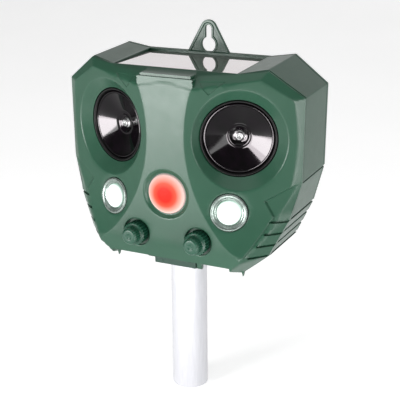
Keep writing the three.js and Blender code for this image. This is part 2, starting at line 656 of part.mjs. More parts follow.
function addElectronics() {
  head.add(piece('main_board', block([-33, 33], [24.6, 26.2], [36, 101]), 'board'));
  head.add(piece('battery_tray', batteryTray(), 'blackPlastic'));
  CELL.z.forEach((z, i) => {
    const half = CELL.length / 2;
    const { radius, y } = CELL;
    const body = turned([
      [0, -half], [radius, -half], [radius, half - 1.4], [2.7, half - 1.4], [2.7, half], [0, half],
    ], SMALL);
    const towards = i % 2 === 0 ? X : X.clone().negate();
    head.add(aimedPiece(`battery_cell_${i + 1}`, body, 'cell', new THREE.Vector3(0, y, z), towards));
  });
  for (const [name, side] of sides) {
    const x = [25.3, 26.1].map((value) => side * value).sort((a, b) => a - b);
    head.add(piece(`battery_contact_${name}`, block(x, [31.5, 42.5], [43, 87]), 'steel'));
  }
  const place = new THREE.Vector3(0, BACK_Y - 0.2, DOOR_SCREW.z);
  const body = screw(DOOR_SCREW.head, DOOR_SCREW.shank, 0.7, 8);
  head.add(aimedPiece('battery_door_screw', body, 'steel', place, Y));
}

function addSolarPanel() {
  const { halfWidth, front, back, floor } = RECESS;
  const span = [-halfWidth + 0.4, halfWidth - 0.4];
  const depth = [front + 0.4, back - 0.4];
  head.add(piece('solar_panel', block(span, depth, [floor + GAP, floor + 2.1]), 'solar'));
  head.add(piece('solar_window', block(span, depth, [floor + 2.4, floor + 3.6]), 'window'));
}

function addStakeSocket() {
  const bore = STAKE_RADIUS + GAP;
  const socket = turned([
    [0, STAKE_TOP + 0.6], [bore, STAKE_TOP + 0.6], [bore, -3], [COLLAR, -3], [COLLAR, WALL + GAP],
    [14.3, WALL + GAP], [14.3, 4.7], [COLLAR, 4.7], [COLLAR, STAKE_TOP + 2.8], [0, STAKE_TOP + 2.8],
  ], ROUND);
  head.add(aimedPiece('stake_socket', socket, 'green', new THREE.Vector3(0, STAKE_Y, 0), Z));
}

function stake() {
  const group = new THREE.Group();
  const length = STAKE_DROP + STAKE_TOP;
  const tube = turned([
    [STAKE_BORE, 0], [STAKE_RADIUS, 0], [STAKE_RADIUS, length], [STAKE_BORE, length],
  ], ROUND);
  group.add(aimedPiece('stake_tube', tube, 'tube', new THREE.Vector3(), Z));
  const plug = turned([
    [0, 0], [STAKE_BORE - GAP, 0], [STAKE_BORE - GAP, 14], [STAKE_BORE - 1.5, 16], [0, 16],
  ], MEDIUM);
  group.add(aimedPiece('stake_plug', plug, 'blackPlastic', new THREE.Vector3(), Z));
  return group;
}

addHousing();
addSpeakers();
addLights();
addMotionSensor();
addControls();
addBottomSockets();
addFlap();
addElectronics();
addSolarPanel();
addStakeSocket();

const repeller = new THREE.Group();
repeller.add(stake(), head);

export default repeller;
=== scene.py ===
# %% [markdown]
# # A solar garden repeller, part by part
# The CAD frame gives the size, the bodies and the joints of this object. Each visible moulding is
# then made again here as a fine surface, because rounded edges, knurls and textures are what a
# camera sees first. Every new surface is a formula on a grid, worked out as whole numpy arrays.

# %% Load the frame
import math

import bmesh
import bpy
import numpy as np
from mathutils import Matrix, Vector
from mathutils.geometry import delaunay_2d_cdt


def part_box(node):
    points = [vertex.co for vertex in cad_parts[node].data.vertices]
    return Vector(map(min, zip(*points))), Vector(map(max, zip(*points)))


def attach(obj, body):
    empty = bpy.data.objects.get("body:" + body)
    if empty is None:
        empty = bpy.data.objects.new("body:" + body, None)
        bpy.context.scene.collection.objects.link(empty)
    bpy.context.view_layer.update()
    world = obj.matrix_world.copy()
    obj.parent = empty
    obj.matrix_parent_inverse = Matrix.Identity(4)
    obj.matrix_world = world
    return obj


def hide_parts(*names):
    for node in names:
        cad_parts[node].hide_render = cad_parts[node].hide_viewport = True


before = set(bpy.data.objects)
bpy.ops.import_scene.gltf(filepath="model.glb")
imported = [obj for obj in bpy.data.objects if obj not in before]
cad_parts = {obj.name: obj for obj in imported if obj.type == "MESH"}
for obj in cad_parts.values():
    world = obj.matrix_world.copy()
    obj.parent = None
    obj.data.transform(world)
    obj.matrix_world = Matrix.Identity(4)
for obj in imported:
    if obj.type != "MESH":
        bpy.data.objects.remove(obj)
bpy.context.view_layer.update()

# %% [markdown]
# ## One frame for every part
# The head is easiest to describe in its own millimetres: x across, y backwards from the front edge
# of the solar recess, z up from the chin. The stake's lower end is the origin of the whole object,
# so two offsets carry a head point to its place. They could be typed in, but then they would go
# stale with the next CAD change, so both are read off the CAD boxes.

# %% The head's own millimetres
MM = 0.001
BACK_Y = 47.5                 # the flat back, in head millimetres
SOCKET_LIP = 3.0              # how far the stake socket hangs below the chin
STAKE_Y = BACK_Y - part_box("back_cover")[1][1] / MM
STAKE_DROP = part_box("stake_socket")[0][2] / MM + SOCKET_LIP
print(f"head sits {STAKE_DROP:.1f} mm up the stake, stake axis at y = {STAKE_Y:.1f} mm")


def to_frame(points):
    """Head millimetres to frame metres: shift by the stake offsets, then scale by a thousandth."""
    shift = np.array([0.0, -STAKE_Y, STAKE_DROP])
    return (np.asarray(points, dtype=float) + shift) * MM


# %% [markdown]
# ## Three ways to make a surface
# Most parts of a moulded product are one of three things. A turned part is a profile carried round
# an axis. A slab is an outline with holes, carried through a thickness. A face is a height over a
# plane. Each becomes one function, so that every part below only states its own shape. Modelling
# tools could do the same by hand, but a formula can be read again and changed in one place.

# %% Mesh helpers
SHARP_ANGLE = math.radians(38)
CORNER_SHARE = 0.45           # the most of an edge that one rounded corner may take up


def make_piece(name, points_mm, faces, material, body, replaced=(), slot=None):
    """Put points in head millimetres and their faces into a new smooth object on a body."""
    mesh = bpy.data.meshes.new(name)
    mesh.from_pydata(to_frame(points_mm).tolist(), [], faces)
    mesh.validate()
    mesh.shade_smooth()
    mesh.set_sharp_from_angle(angle=SHARP_ANGLE)
    mesh.materials.append(material)
    piece = bpy.data.objects.new(name, mesh)
    bpy.context.scene.collection.objects.link(piece)
    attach(piece, body)
    if replaced:
        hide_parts(*replaced)
    print(f"{name}: {len(mesh.polygons)} faces")
    return piece


def grid_faces(rows, columns, wrap_rows=False, wrap_columns=True, start=0):
    """Quads between neighbouring rows and columns of a grid of numbered points."""
    r = np.arange(rows if wrap_rows else rows - 1)
    c = np.arange(columns if wrap_columns else columns - 1)
    r, c = np.meshgrid(r, c, indexing="ij")
    r2, c2 = (r + 1) % rows, (c + 1) % columns
    quads = np.stack([r * columns + c, r * columns + c2, r2 * columns + c2, r2 * columns + c], axis=-1)
    return (quads.reshape(-1, 4) + start).tolist()


def axis_frame(axis):
    """A level vector square to the axis, one square to both, and the axis: a right-handed set."""
    axis = np.asarray(axis, dtype=float) / np.linalg.norm(axis)
    level = np.cross([0.0, 0.0, 1.0], axis)
    if np.linalg.norm(level) < 1e-6:
        level = np.array([1.0, 0.0, 0.0])
    level /= np.linalg.norm(level)
    return level, np.cross(axis, level), axis


def corner_curve(before, corner, after, radius, steps):
    """Points on a quadratic curve between two trim points, each a radius from the corner or the
    corner's share of the edge, whichever is less."""
    a, b = before - corner, after - corner
    start = corner + a / np.linalg.norm(a) * min(radius, CORNER_SHARE * np.linalg.norm(a))
    end = corner + b / np.linalg.norm(b) * min(radius, CORNER_SHARE * np.linalg.norm(b))
    t = np.linspace(0, 1, steps + 1)[:, None]
    return (1 - t) ** 2 * start + 2 * t * (1 - t) * corner + t ** 2 * end


def rounded(profile, radius, steps=4):
    """Replace each inner corner of an open profile by a corner curve."""
    profile = [np.asarray(p, dtype=float) for p in profile]
    out = [profile[0]]
    for before, corner, after in zip(profile, profile[1:], profile[2:]):
        out.extend(corner_curve(before, corner, after, radius, steps))
    out.append(profile[-1])
    return np.array(out)


def turned(profile, centre, axis, segments=96, wave=None):
    """Carry (radius, height) points round an axis: point = centre + height * axis
    + radius * (cos a * level + sin a * upright). A wave(angle, row) may scale the radius. A profile
    away from the axis closes into a ring; one that starts and ends on it closes in two poles."""
    profile = np.asarray(profile, dtype=float)
    u, v, w = axis_frame(axis)
    angle = np.linspace(0, 2 * np.pi, segments, endpoint=False)
    radius = np.repeat(profile[:, :1], segments, axis=1)
    if wave is not None:
        radius = radius * wave(angle[None, :], np.arange(len(profile))[:, None])
    ring = np.cos(angle)[:, None] * u + np.sin(angle)[:, None] * v
    points = centre + profile[:, 1][:, None, None] * w + radius[:, :, None] * ring[None]
    hollow = profile[0, 0] > 1e-6
    faces = grid_faces(len(profile), segments, wrap_rows=hollow)
    points = points.reshape(-1, 3)
    if not hollow:
        # both ends lie on the axis: each end row collapses to one pole
        last = (len(profile) - 1) * segments
        fan = lambda quad: [i if segments <= i < last else (0 if i < segments else last) for i in quad]
        faces = [list(dict.fromkeys(fan(quad))) for quad in faces]
        keep = np.concatenate([[0], np.arange(segments, last), [last]])
        number = np.full(len(points), -1)
        number[keep] = np.arange(len(keep))
        faces = [number[quad].tolist() for quad in faces if len(quad) > 2]
        points = points[keep]
    return points, faces


print("mesh helpers ready, edges over", round(math.degrees(SHARP_ANGLE)), "degrees stay sharp")

# %% [markdown]
# ## Outlines
# A moulding starts as a drawn outline with small radii in its corners, because a mould can't be cut
# with sharp ones. A bevel tool rounds corners only after the mesh exists. Here the outline itself is
# rounded, shifted sideways and cut into even steps, so every later surface follows it exactly.

# %% Outlines: fillets, offsets, inside tests
def fillet_loop(points, radius, steps=4):
    """Replace every corner of a closed outline by a corner curve."""
    points = [np.asarray(p, dtype=float) for p in points]
    out = []
    for i, corner in enumerate(points):
        out.extend(corner_curve(points[i - 1], corner, points[(i + 1) % len(points)], radius, steps))
    return np.array(out)


def signed_area(loop):
    """Half the sum of cross products of neighbouring points: positive when counter-clockwise."""
    ahead = np.roll(loop, -1, axis=0)
    return 0.5 * np.sum(loop[:, 0] * ahead[:, 1] - ahead[:, 0] * loop[:, 1])


def offset_loop(loop, distance):
    """Move each corner to its left by a mitre: the sum of both edge normals over 1 + their product."""
    step = np.roll(loop, -1, axis=0) - loop
    normal = np.stack([-step[:, 1], step[:, 0]], axis=1) / np.linalg.norm(step, axis=1)[:, None]
    before = np.roll(normal, 1, axis=0)
    mitre = (normal + before) / (1 + np.sum(normal * before, axis=1))[:, None]
    return loop + distance * mitre


def resample_loop(loop, spacing):
    """Points at equal steps along each edge of a closed outline, corners kept."""
    out = []
    for a, b in zip(loop, np.roll(loop, -1, axis=0)):
        count = max(1, int(round(np.linalg.norm(b - a) / spacing)))
        out.append(a + (b - a) * np.linspace(0, 1, count, endpoint=False)[:, None])
    return np.concatenate(out)


def inside(points, loop):
    """Even-odd rule: count how many edges of the outline a ray towards +x crosses."""
    x, z = points[:, 0][:, None], points[:, 1][:, None]
    x0, z0 = loop[:, 0][None], loop[:, 1][None]
    x1, z1 = np.roll(loop[:, 0], -1)[None], np.roll(loop[:, 1], -1)[None]
    spans = (z0 > z) != (z1 > z)
    with np.errstate(divide="ignore", invalid="ignore"):
        crossing = x0 + (z - z0) * (x1 - x0) / (z1 - z0)
    return (np.sum(spans & (x < crossing), axis=1) % 2) == 1


def circle(centre, radius, segments=48):
    """Evenly spaced points at one distance from the centre."""
    angle = np.linspace(0, 2 * np.pi, segments, endpoint=False)
    return np.asarray(centre) + radius * np.stack([np.cos(angle), np.sin(angle)], axis=1)


def triangulate(loops, extra=None):
    """Delaunay triangles that keep every edge of the loops, inside the first and outside the rest."""
    points = np.concatenate(list(loops) + ([extra] if extra is not None and len(extra) else []))
    edges, start = [], 0
    for loop in loops:
        index = np.arange(len(loop)) + start
        edges.append(np.stack([index, np.roll(index, -1)], axis=1))
        start += len(loop)
    edges = np.concatenate(edges)
    result = delaunay_2d_cdt(points.tolist(), edges.tolist(), [], 0, 1e-5, False)
    vertices = np.array([v[:] for v in result[0]])
    triangles = np.array(result[2])
    centroid = vertices[triangles].mean(axis=1)
    keep = inside(centroid, loops[0])
    for hole in loops[1:]:
        keep &= ~inside(centroid, hole)
    return vertices, triangles[keep]


print("a test square has area", signed_area(np.array([(0, 0), (1, 0), (1, 1), (0, 1)])))

# %% [markdown]
# ## Plates
# The back, the door, the walls and the flap are plates: flat on both sides, with softly rounded
# edges. Solidify and Bevel would give the same from a flat sheet, but they stumble where holes and
# slots come close together. Quarter-circle rows round the outline and each hole are always clean.

# %% The slab: an outline with holes and a thickness
EDGE_ROWS = 4                 # rows of points in the quarter circle of one edge
PLACES = {
    "y": lambda a, b, level: np.stack([a, level, b], axis=-1),
    "z": lambda a, b, level: np.stack([a, b, level], axis=-1),
    "x": lambda a, b, level: np.stack([level, a, b], axis=-1),
}


def slab(outline, holes, low, high, edge, along="y"):
    """A plate between two levels. Its rim follows the outline; each edge is a quarter circle of
    radius edge; both faces are flat triangles. A level may be a function of the outline's plane."""
    level_at = lambda level, p: level(p) if callable(level) else np.full(len(p), float(level))
    loops = [outline if signed_area(outline) > 0 else outline[::-1]]
    loops += [hole if signed_area(hole) < 0 else hole[::-1] for hole in holes]
    angle = np.linspace(0, np.pi / 2, EDGE_ROWS)
    shrink = np.concatenate([edge * (1 - np.sin(angle)), edge * (1 - np.sin(angle))[::-1]])
    rise = edge * (1 - np.cos(angle))
    place = PLACES[along]
    points, faces, count = [], [], 0
    rims = []
    for loop in loops:
        rows = []
        for k, inward in enumerate(shrink):
            ring = offset_loop(loop, inward)
            if k < EDGE_ROWS:
                level = level_at(low, ring) + rise[k]
            else:
                level = level_at(high, ring) - rise[2 * EDGE_ROWS - 1 - k]
            rows.append(place(ring[:, 0], ring[:, 1], level))
        rims.append(offset_loop(loop, shrink[0]))
        points.append(np.concatenate(rows))
        faces += grid_faces(len(rows), len(loop), start=count)
        count += len(rows) * len(loop)
    flat, triangles = triangulate(rims)
    for level in (low, high):
        points.append(place(flat[:, 0], flat[:, 1], level_at(level, flat)))
        faces += (triangles + count).tolist()
        count += len(flat)
    return np.concatenate(points), faces


def weld(piece, sharp=SHARP_ANGLE, distance=2e-6):
    """Merge the points where rim and faces meet, turn all faces outwards and let the large flats
    decide the shading at their rounded edges."""
    mesh = bmesh.new()
    mesh.from_mesh(piece.data)
    bmesh.ops.remove_doubles(mesh, verts=mesh.verts, dist=distance)
    bmesh.ops.recalc_face_normals(mesh, faces=mesh.faces)
    mesh.to_mesh(piece.data)
    mesh.free()
    piece.data.shade_smooth()
    piece.data.set_sharp_from_angle(angle=sharp)
    even = piece.modifiers.new("even_shading", "WEIGHTED_NORMAL")
    even.keep_sharp = True


def joined(*bodies):
    """Several (points, faces) pairs as one, with the face numbers shifted."""
    points, faces, count = [], [], 0
    for body_points, body_faces in bodies:
        points.append(np.asarray(body_points, dtype=float))
        faces += [[index + count for index in face] for face in body_faces]
        count += len(body_points)
    return np.concatenate(points), faces


def rectangle(a0, a1, b0, b1):
    """The four corners between two pairs of limits."""
    return np.array([(a0, b0), (a1, b0), (a1, b1), (a0, b1)], dtype=float)


print("a plain slab has", len(slab(rectangle(0, 9, 0, 9), [], 0, 2, 0.3)[1]), "faces")

# %% [markdown]
# ## Materials
# The mouldings are one dark green plastic with a fine sparked texture: it scatters light softly, but
# still shows streaks of highlight at grazing angles. Noise at two sizes drives the colour a little,
# the roughness a little more and the bump most. Every pattern reads Object coordinates, so it is
# fixed in the material of the part.

# %% Node helpers
def new_material(name):
    """A material with its nodes, links, shader and the Object coordinates that place its patterns."""
    material = bpy.data.materials.new(name + "_finish")
    material.use_nodes = True
    nodes, links = material.node_tree.nodes, material.node_tree.links
    shader = nodes["Principled BSDF"]
    place = nodes.new("ShaderNodeTexCoord")
    return material, nodes, links, shader, place.outputs["Object"]


def noise(nodes, links, where, scale, detail=3.0, roughness=0.5):
    """Soft random values in space; a larger scale makes a finer grain."""
    node = nodes.new("ShaderNodeTexNoise")
    node.inputs["Scale"].default_value = scale
    node.inputs["Detail"].default_value = detail
    node.inputs["Roughness"].default_value = roughness
    links.new(where, node.inputs["Vector"])
    return node.outputs["Fac"]


def ramp(nodes, links, value, stops):
    """Colours or grey levels placed along a value: stops are (position, colour)."""
    node = nodes.new("ShaderNodeValToRGB")
    elements = node.color_ramp.elements
    while len(elements) < len(stops):
        elements.new(0.5)
    for element, (position, colour) in zip(elements, stops):
        element.position = position
        element.color = (*(grey(colour) if np.isscalar(colour) else colour), 1.0)
    links.new(value, node.inputs["Fac"])
    return node.outputs["Color"]


def grey(level):
    return (level, level, level)


def spread(low, high):
    """Two stops. Noise seldom leaves the range of 0.3 to 0.7, so the limits stand there."""
    return [(0.3, low), (0.7, high)]


def drive(nodes, links, value, stops, socket):
    """Let a value steer a socket through a ramp."""
    links.new(ramp(nodes, links, value, stops), socket)


def bump(nodes, links, height, strength, distance, shader):
    """Tilt the surface normal as if the height, in metres times the strength, were there."""
    node = nodes.new("ShaderNodeBump")
    node.inputs["Strength"].default_value = strength
    node.inputs["Distance"].default_value = distance
    links.new(height, node.inputs["Height"])
    links.new(node.outputs["Normal"], shader.inputs["Normal"])


print("a grey of one half is", grey(0.5))

# %% Moulded plastic
def moulded_plastic(name, light, dark, roughness, grain=2600, depth=0.00006, gloss=0.4):
    """Two close shades mixed by a broad noise, a roughness band from a mid noise, a fine bump."""
    material, nodes, links, shader, where = new_material(name)
    broad = noise(nodes, links, where, 26, 4.0)
    drive(nodes, links, broad, spread(dark, light), shader.inputs["Base Color"])
    middle = noise(nodes, links, where, 160, 4.0, 0.6)
    drive(nodes, links, middle, spread(roughness - 0.02, roughness + 0.03), shader.inputs["Roughness"])
    fine = noise(nodes, links, where, grain, 2.0)
    bump(nodes, links, fine, 0.35, depth, shader)
    shader.inputs["Specular IOR Level"].default_value = gloss
    return material


GREEN = moulded_plastic("green_plastic", (0.019, 0.070, 0.041), (0.015, 0.059, 0.034), 0.30)
KNOB_GREEN = moulded_plastic("knob_green", (0.010, 0.062, 0.036), (0.007, 0.050, 0.028), 0.28)
BLACK = moulded_plastic("black_plastic", grey(0.006), grey(0.004), 0.36, gloss=0.22)
RUBBER = moulded_plastic("flap_rubber", (0.020, 0.050, 0.036), (0.015, 0.042, 0.030), 0.62, 1800)
WRAP = moulded_plastic("cell_wrap", (0.05, 0.24, 0.10), (0.04, 0.20, 0.08), 0.3)
print("plastics:", [m.name for m in (GREEN, KNOB_GREEN, BLACK, RUBBER, WRAP)])

# %% [markdown]
# ## Metals, boards and the glossy horn
# The stake and the screws are drawn and turned metal, so their marks run one way: a noise squeezed
# along one axis. The boards show their copper tracks through green lacquer. The horns are polished
# black, and what one sees of them is almost only what they mirror. An image of each would do for one
# view, but these patterns hold from every side and at any distance.

# %% Metals, boards and the glossy speaker
def brushed_metal(name, light, dark, roughness, stretch):
    """A noise squeezed along one axis gives fine parallel lines in colour, roughness and bump."""
    material, nodes, links, shader, where = new_material(name)
    mapping = nodes.new("ShaderNodeMapping")
    mapping.inputs["Scale"].default_value = stretch
    links.new(where, mapping.inputs["Vector"])
    lines = noise(nodes, links, mapping.outputs["Vector"], 900, 3.0, 0.7)
    drive(nodes, links, lines, spread(dark, light), shader.inputs["Base Color"])
    drive(nodes, links, lines, spread(roughness - 0.06, roughness + 0.08), shader.inputs["Roughness"])
    bump(nodes, links, lines, 0.12, 0.00003, shader)
    return material, shader


def circuit_board():
    """Solder mask over copper: a brick pattern of tracks under a smooth green coat."""
    material, nodes, links, shader, where = new_material("circuit_board")
    tracks = nodes.new("ShaderNodeTexBrick")
    tracks.inputs["Scale"].default_value = 260
    tracks.inputs["Mortar Size"].default_value = 0.06
    tracks.inputs["Color1"].default_value = (0.010, 0.085, 0.036, 1)
    tracks.inputs["Color2"].default_value = (0.014, 0.110, 0.046, 1)
    tracks.inputs["Mortar"].default_value = (0.035, 0.190, 0.080, 1)
    links.new(where, tracks.inputs["Vector"])
    links.new(tracks.outputs["Color"], shader.inputs["Base Color"])
    bump(nodes, links, tracks.outputs["Fac"], 0.2, 0.00004, shader)
    shader.inputs["Roughness"].default_value = 0.35
    shader.inputs["Coat Weight"].default_value = 0.4
    return material


def speaker_gloss():
    """Polished black plastic: nearly mirror-smooth, with faint moulding ripple."""
    material, nodes, links, shader, where = new_material("speaker_black")
    ripple = noise(nodes, links, where, 220, 2.0)
    drive(nodes, links, ripple, spread(0.0002, (0.0006, 0.0003, 0.0006)), shader.inputs["Base Color"])
    drive(nodes, links, ripple, spread(0.06, 0.10), shader.inputs["Roughness"])
    shader.inputs["Specular IOR Level"].default_value = 0.16
    return material


STEEL, steel_shader = brushed_metal("steel", grey(0.62), grey(0.45), 0.28, (1, 1, 6))
steel_shader.inputs["Metallic"].default_value = 1.0
TUBE, tube_shader = brushed_metal("stake_metal", (0.60, 0.60, 0.63), (0.54, 0.54, 0.57), 0.34, (1, 1, 0.08))
tube_shader.inputs["Metallic"].default_value = 0.35
BOARD = circuit_board()
SPEAKER_BLACK = speaker_gloss()
print("metals and boards:", [m.name for m in (STEEL, TUBE, BOARD, SPEAKER_BLACK)])

# %% [markdown]
# ## Lit and clear parts
# The two lamps are on, and a red lamp glows behind the milky motion lens. Real lamps inside would need
# many samples to show through, so the light is painted instead: the distance from the lens centre
# drives a ramp from the bright middle to the dull rim.

# %% How far a point is from a lens centre
def distance_from(nodes, links, where, centre, radius):
    """0 at a point of the face and 1 at the radius, measured in x and z. The left side is mirrored."""
    absolute = nodes.new("ShaderNodeVectorMath")
    absolute.operation = "ABSOLUTE"
    links.new(where, absolute.inputs[0])
    mapping = nodes.new("ShaderNodeMapping")
    mapping.inputs["Location"].default_value = (-centre[0], 0.0, -centre[2])
    mapping.inputs["Scale"].default_value = (1.0, 0.0, 1.0)
    links.new(absolute.outputs["Vector"], mapping.inputs["Vector"])
    length = nodes.new("ShaderNodeVectorMath")
    length.operation = "LENGTH"
    links.new(mapping.outputs["Vector"], length.inputs[0])
    share = nodes.new("ShaderNodeMapRange")
    share.inputs["From Max"].default_value = radius
    links.new(length.outputs["Value"], share.inputs["Value"])
    return share.outputs["Result"]


print("lens centres are found in x and z")

# %% Lamps and motion lens
def lit_lens(centre, radius):
    """A white lamp behind a clear lens: brightest in the middle, grey-white at the rim."""
    material, nodes, links, shader, where = new_material("led_white")
    share = distance_from(nodes, links, where, centre, radius)
    glow = [(0.0, 1.0), (0.4, 0.6), (0.65, (0.10, 0.12, 0.11)), (1.0, (0.01, 0.02, 0.015))]
    drive(nodes, links, share, glow, shader.inputs["Emission Color"])
    shader.inputs["Emission Strength"].default_value = 14.0
    facets = nodes.new("ShaderNodeTexVoronoi")
    facets.inputs["Scale"].default_value = 700
    links.new(where, facets.inputs["Vector"])
    drive(nodes, links, facets.outputs["Distance"], [(0.0, 0.42), (1.0, 0.30)], shader.inputs["Base Color"])
    bump(nodes, links, facets.outputs["Distance"], 0.3, 0.0002, shader)
    shader.inputs["Roughness"].default_value = 0.15
    return material


def motion_window(centre, radius):
    """Milky plastic with a red lamp behind it: the distance from the lens centre drives the glow."""
    material, nodes, links, shader, where = new_material("pir_window")
    share = distance_from(nodes, links, where, centre, radius)
    red, orange, pink, milk = (0.72, 0.006, 0.0), (0.70, 0.05, 0.025), (0.62, 0.22, 0.18), (0.52, 0.40, 0.37)
    tone = ramp(nodes, links, share, [(0.0, red), (0.34, red), (0.60, orange), (0.84, pink), (1.0, milk)])
    links.new(tone, shader.inputs["Base Color"])
    links.new(tone, shader.inputs["Emission Color"])
    shader.inputs["Emission Strength"].default_value = 0.45
    cells = nodes.new("ShaderNodeTexVoronoi")
    cells.inputs["Scale"].default_value = 420
    cells.inputs["Randomness"].default_value = 0.15
    links.new(where, cells.inputs["Vector"])
    bump(nodes, links, cells.outputs["Distance"], 0.25, 0.0003, shader)
    shader.inputs["Roughness"].default_value = 0.45
    shader.inputs["Specular IOR Level"].default_value = 0.15
    return material


PIR = {"z": 40.1, "lens": 11.7, "recess": 14.5}
LED = {"x": 37.3, "z": 32.9, "bore": 11.0, "radius": 10.8, "lens": 7.1}
LED_WHITE = lit_lens(to_frame([LED["x"], 0, LED["z"]]), LED["lens"] * MM)
PIR_WINDOW = motion_window(to_frame([0, 0, PIR["z"]]), PIR["lens"] * MM)
print("lamp lens", 2 * LED["lens"], "mm and motion lens", 2 * PIR["lens"], "mm across")

# %% [markdown]
# ## Solar panel and silvering
# The panel is dark cells between silver lines, under a resin cover that mirrors the pale sky. Clear
# glass over the cells would be the honest way, but bakes badly, so the cover is a tinted mirror. The
# lamp rings are thin silvering on plastic.

# %% Panel, cover and silvering
def solar_cells():
    """Dark blue-black cells between thin silver lines: two brick patterns, one fine and one coarse."""
    material, nodes, links, shader, where = new_material("solar_cells")
    cells = nodes.new("ShaderNodeTexBrick")
    cells.offset = 0.0
    cells.inputs["Scale"].default_value = 50
    cells.inputs["Mortar Size"].default_value = 0.02
    cells.inputs["Color1"].default_value = (0.020, 0.014, 0.030, 1)
    cells.inputs["Color2"].default_value = (0.026, 0.018, 0.038, 1)
    cells.inputs["Mortar"].default_value = (0.42, 0.42, 0.44, 1)
    links.new(where, cells.inputs["Vector"])
    links.new(cells.outputs["Color"], shader.inputs["Base Color"])
    drive(nodes, links, noise(nodes, links, where, 800), spread(0.18, 0.3), shader.inputs["Roughness"])
    return material


def panel_glass():
    """The clear cover of the panel: thin glossy resin that mirrors the sky, with a faint milky tint."""
    material, nodes, links, shader, where = new_material("solar_glass")
    haze = noise(nodes, links, where, 40, 3.0)
    drive(nodes, links, haze, spread((0.60, 0.52, 0.53), (0.68, 0.60, 0.61)), shader.inputs["Base Color"])
    drive(nodes, links, haze, spread(0.03, 0.06), shader.inputs["Roughness"])
    shader.inputs["Metallic"].default_value = 0.85
    shader.inputs["Coat Weight"].default_value = 1.0
    shader.inputs["Coat Roughness"].default_value = 0.02
    return material


def silvered(name, light, dark, roughness):
    """Thin silvering on plastic: metallic, with soft cloudy variation."""
    material, nodes, links, shader, where = new_material(name)
    cloud = noise(nodes, links, where, 300, 3.0)
    drive(nodes, links, cloud, spread(dark, light), shader.inputs["Base Color"])
    drive(nodes, links, cloud, spread(roughness, roughness + 0.1), shader.inputs["Roughness"])
    shader.inputs["Metallic"].default_value = 0.7
    return material


REFLECTOR = silvered("led_reflector", (0.24, 0.28, 0.26), (0.16, 0.20, 0.18), 0.22)
PHOSPHOR = silvered("led_chip", (0.90, 0.75, 0.25), (0.80, 0.62, 0.18), 0.3)
SOLAR_CELLS = solar_cells()
SOLAR_GLASS = panel_glass()
print("last finishes:", [m.name for m in (REFLECTOR, PHOSPHOR, SOLAR_CELLS, SOLAR_GLASS)])

# %% [markdown]
# ## The face
# The face is a flat hourglass strip between two lobes that fall back to both sides, with bevels all
# round, two speaker bowls, lamp and lens holes and dial wells. Sculpting it would lose the exact
# holes. Here it is one height y over the plane of x and z: every flat is a plane, the rearmost plane
# wins, and a soft maximum rounds each edge where two planes meet.

# %% Face dimensions, in head millimetres
EAR_FOOT, EAR_TOP, SHOULDER = (40.3, 110.8), (55.1, 113.1), (75.0, 98.0)
SIDE_WALL = [(74.3, 50.4), (68.1, 28.1), (58.1, 7.4)]
CHIN_STEP = [(41.7, -6.6), (38.6, -2.6), (38.6, 0.0)]
OUTLINE = [EAR_FOOT, EAR_TOP, SHOULDER] + SIDE_WALL + CHIN_STEP
OUTLINE = np.array(OUTLINE + [(-x, z) for x, z in reversed(OUTLINE)])
STRIP_Y, STRIP_EDGE = -11.4, 0.35
LOBE_SLOPE = 0.33
CHIN = {"z": 10.0, "slope": 0.23, "edge": 0.8}
TOP = {"z": 110.8, "slope": 2.375, "edge": 0.6}
EDGE = 0.5                    # how softly any two other planes meet
WAIST_X, WAIST_Z, WAIST_RADIUS = 98.0, 74.0, 86.0
DRAFT = 0.0004
WALL = 2.4
SPEAKER = {"x": 39.3, "y": 2.0, "z": 73.9, "yaw": math.radians(20), "bore": 22.2, "dish": 27.0, "rise": 4.2}
KNOB = {"x": 20.0, "z": 14.1, "well": 8.3, "floor": -8.4, "bore": 3.5}
LOUVRES = [(68.1, 28.1), (65.5, 21.1), (62.2, 14.1), (58.1, 7.4)]
LOUVRE_HEIGHT, LOUVRE_DEPTH, LOUVRE_REACH = 1.3, 2.0, 9.0
LEDGES = ((107.6, -11.0), (109.2, -9.9))
LEDGE_HALF, LEDGE_LEAN, LEDGE_FOOT = 17.5, 1.6, 102.0
NOTCH = np.array([(19.5, 106.4), (34.6, 106.9), (25.6, 99.2)])
BROW = np.array([
    (76.0, 52.0), (70.8, 49.6), (55.3, 40.2), (60.8, 31.2), (46.9, 8.0), (58.1, 2.0), (76.0, 25.0),
])
BROW_STEP, NOTCH_STEP = {"rise": 1.2, "run": 0.8}, {"rise": 0.4, "run": 0.3}
LENS_DIP = {"rise": 1.7, "run": 2.4, "lead": 0.4}
LAMP_LIP, WELL_LIP = {"rise": 0.35, "run": 0.6}, {"rise": 0.5, "run": 0.8}
FAR_BACK = 99.0               # a height behind the whole head, where a step has no say
print("the face is", 2 * SHOULDER[0], "mm wide at its shoulders")

# %% Curves and planes of the face
SEAM = {"y": 0.8, "x": 40.0, "slope": 0.31}


def seam_y(x):
    """The parting line: level in the middle, then falling back with the lobes."""
    return SEAM["y"] + SEAM["slope"] * np.maximum(0, np.abs(x) - SEAM["x"])


def smooth_step(value):
    """From 0 to 1 with a level start and end: three squares less two cubes."""
    t = np.clip(value, 0, 1)
    return t * t * (3 - 2 * t)


def soft_max(a, b, width):
    """The larger of two values, blended by a parabola where they differ by less than the width."""
    share = np.clip(0.5 + 0.5 * (a - b) / width, 0, 1)
    return b + (a - b) * share + width * share * (1 - share)


def plane_y(p, q, r, x, z):
    """Height y at (x, z) of the plane through three points."""
    normal = np.cross(np.subtract(q, p), np.subtract(r, p))
    return p[1] - (normal[0] * (x - p[0]) + normal[2] * (z - p[2])) / normal[1]


def waist_x(z):
    """Where the strip meets the lobe: an arc around a centre far outside the face."""
    return WAIST_X - np.sqrt(np.maximum(WAIST_RADIUS ** 2 - (z - WAIST_Z) ** 2, 1.0))


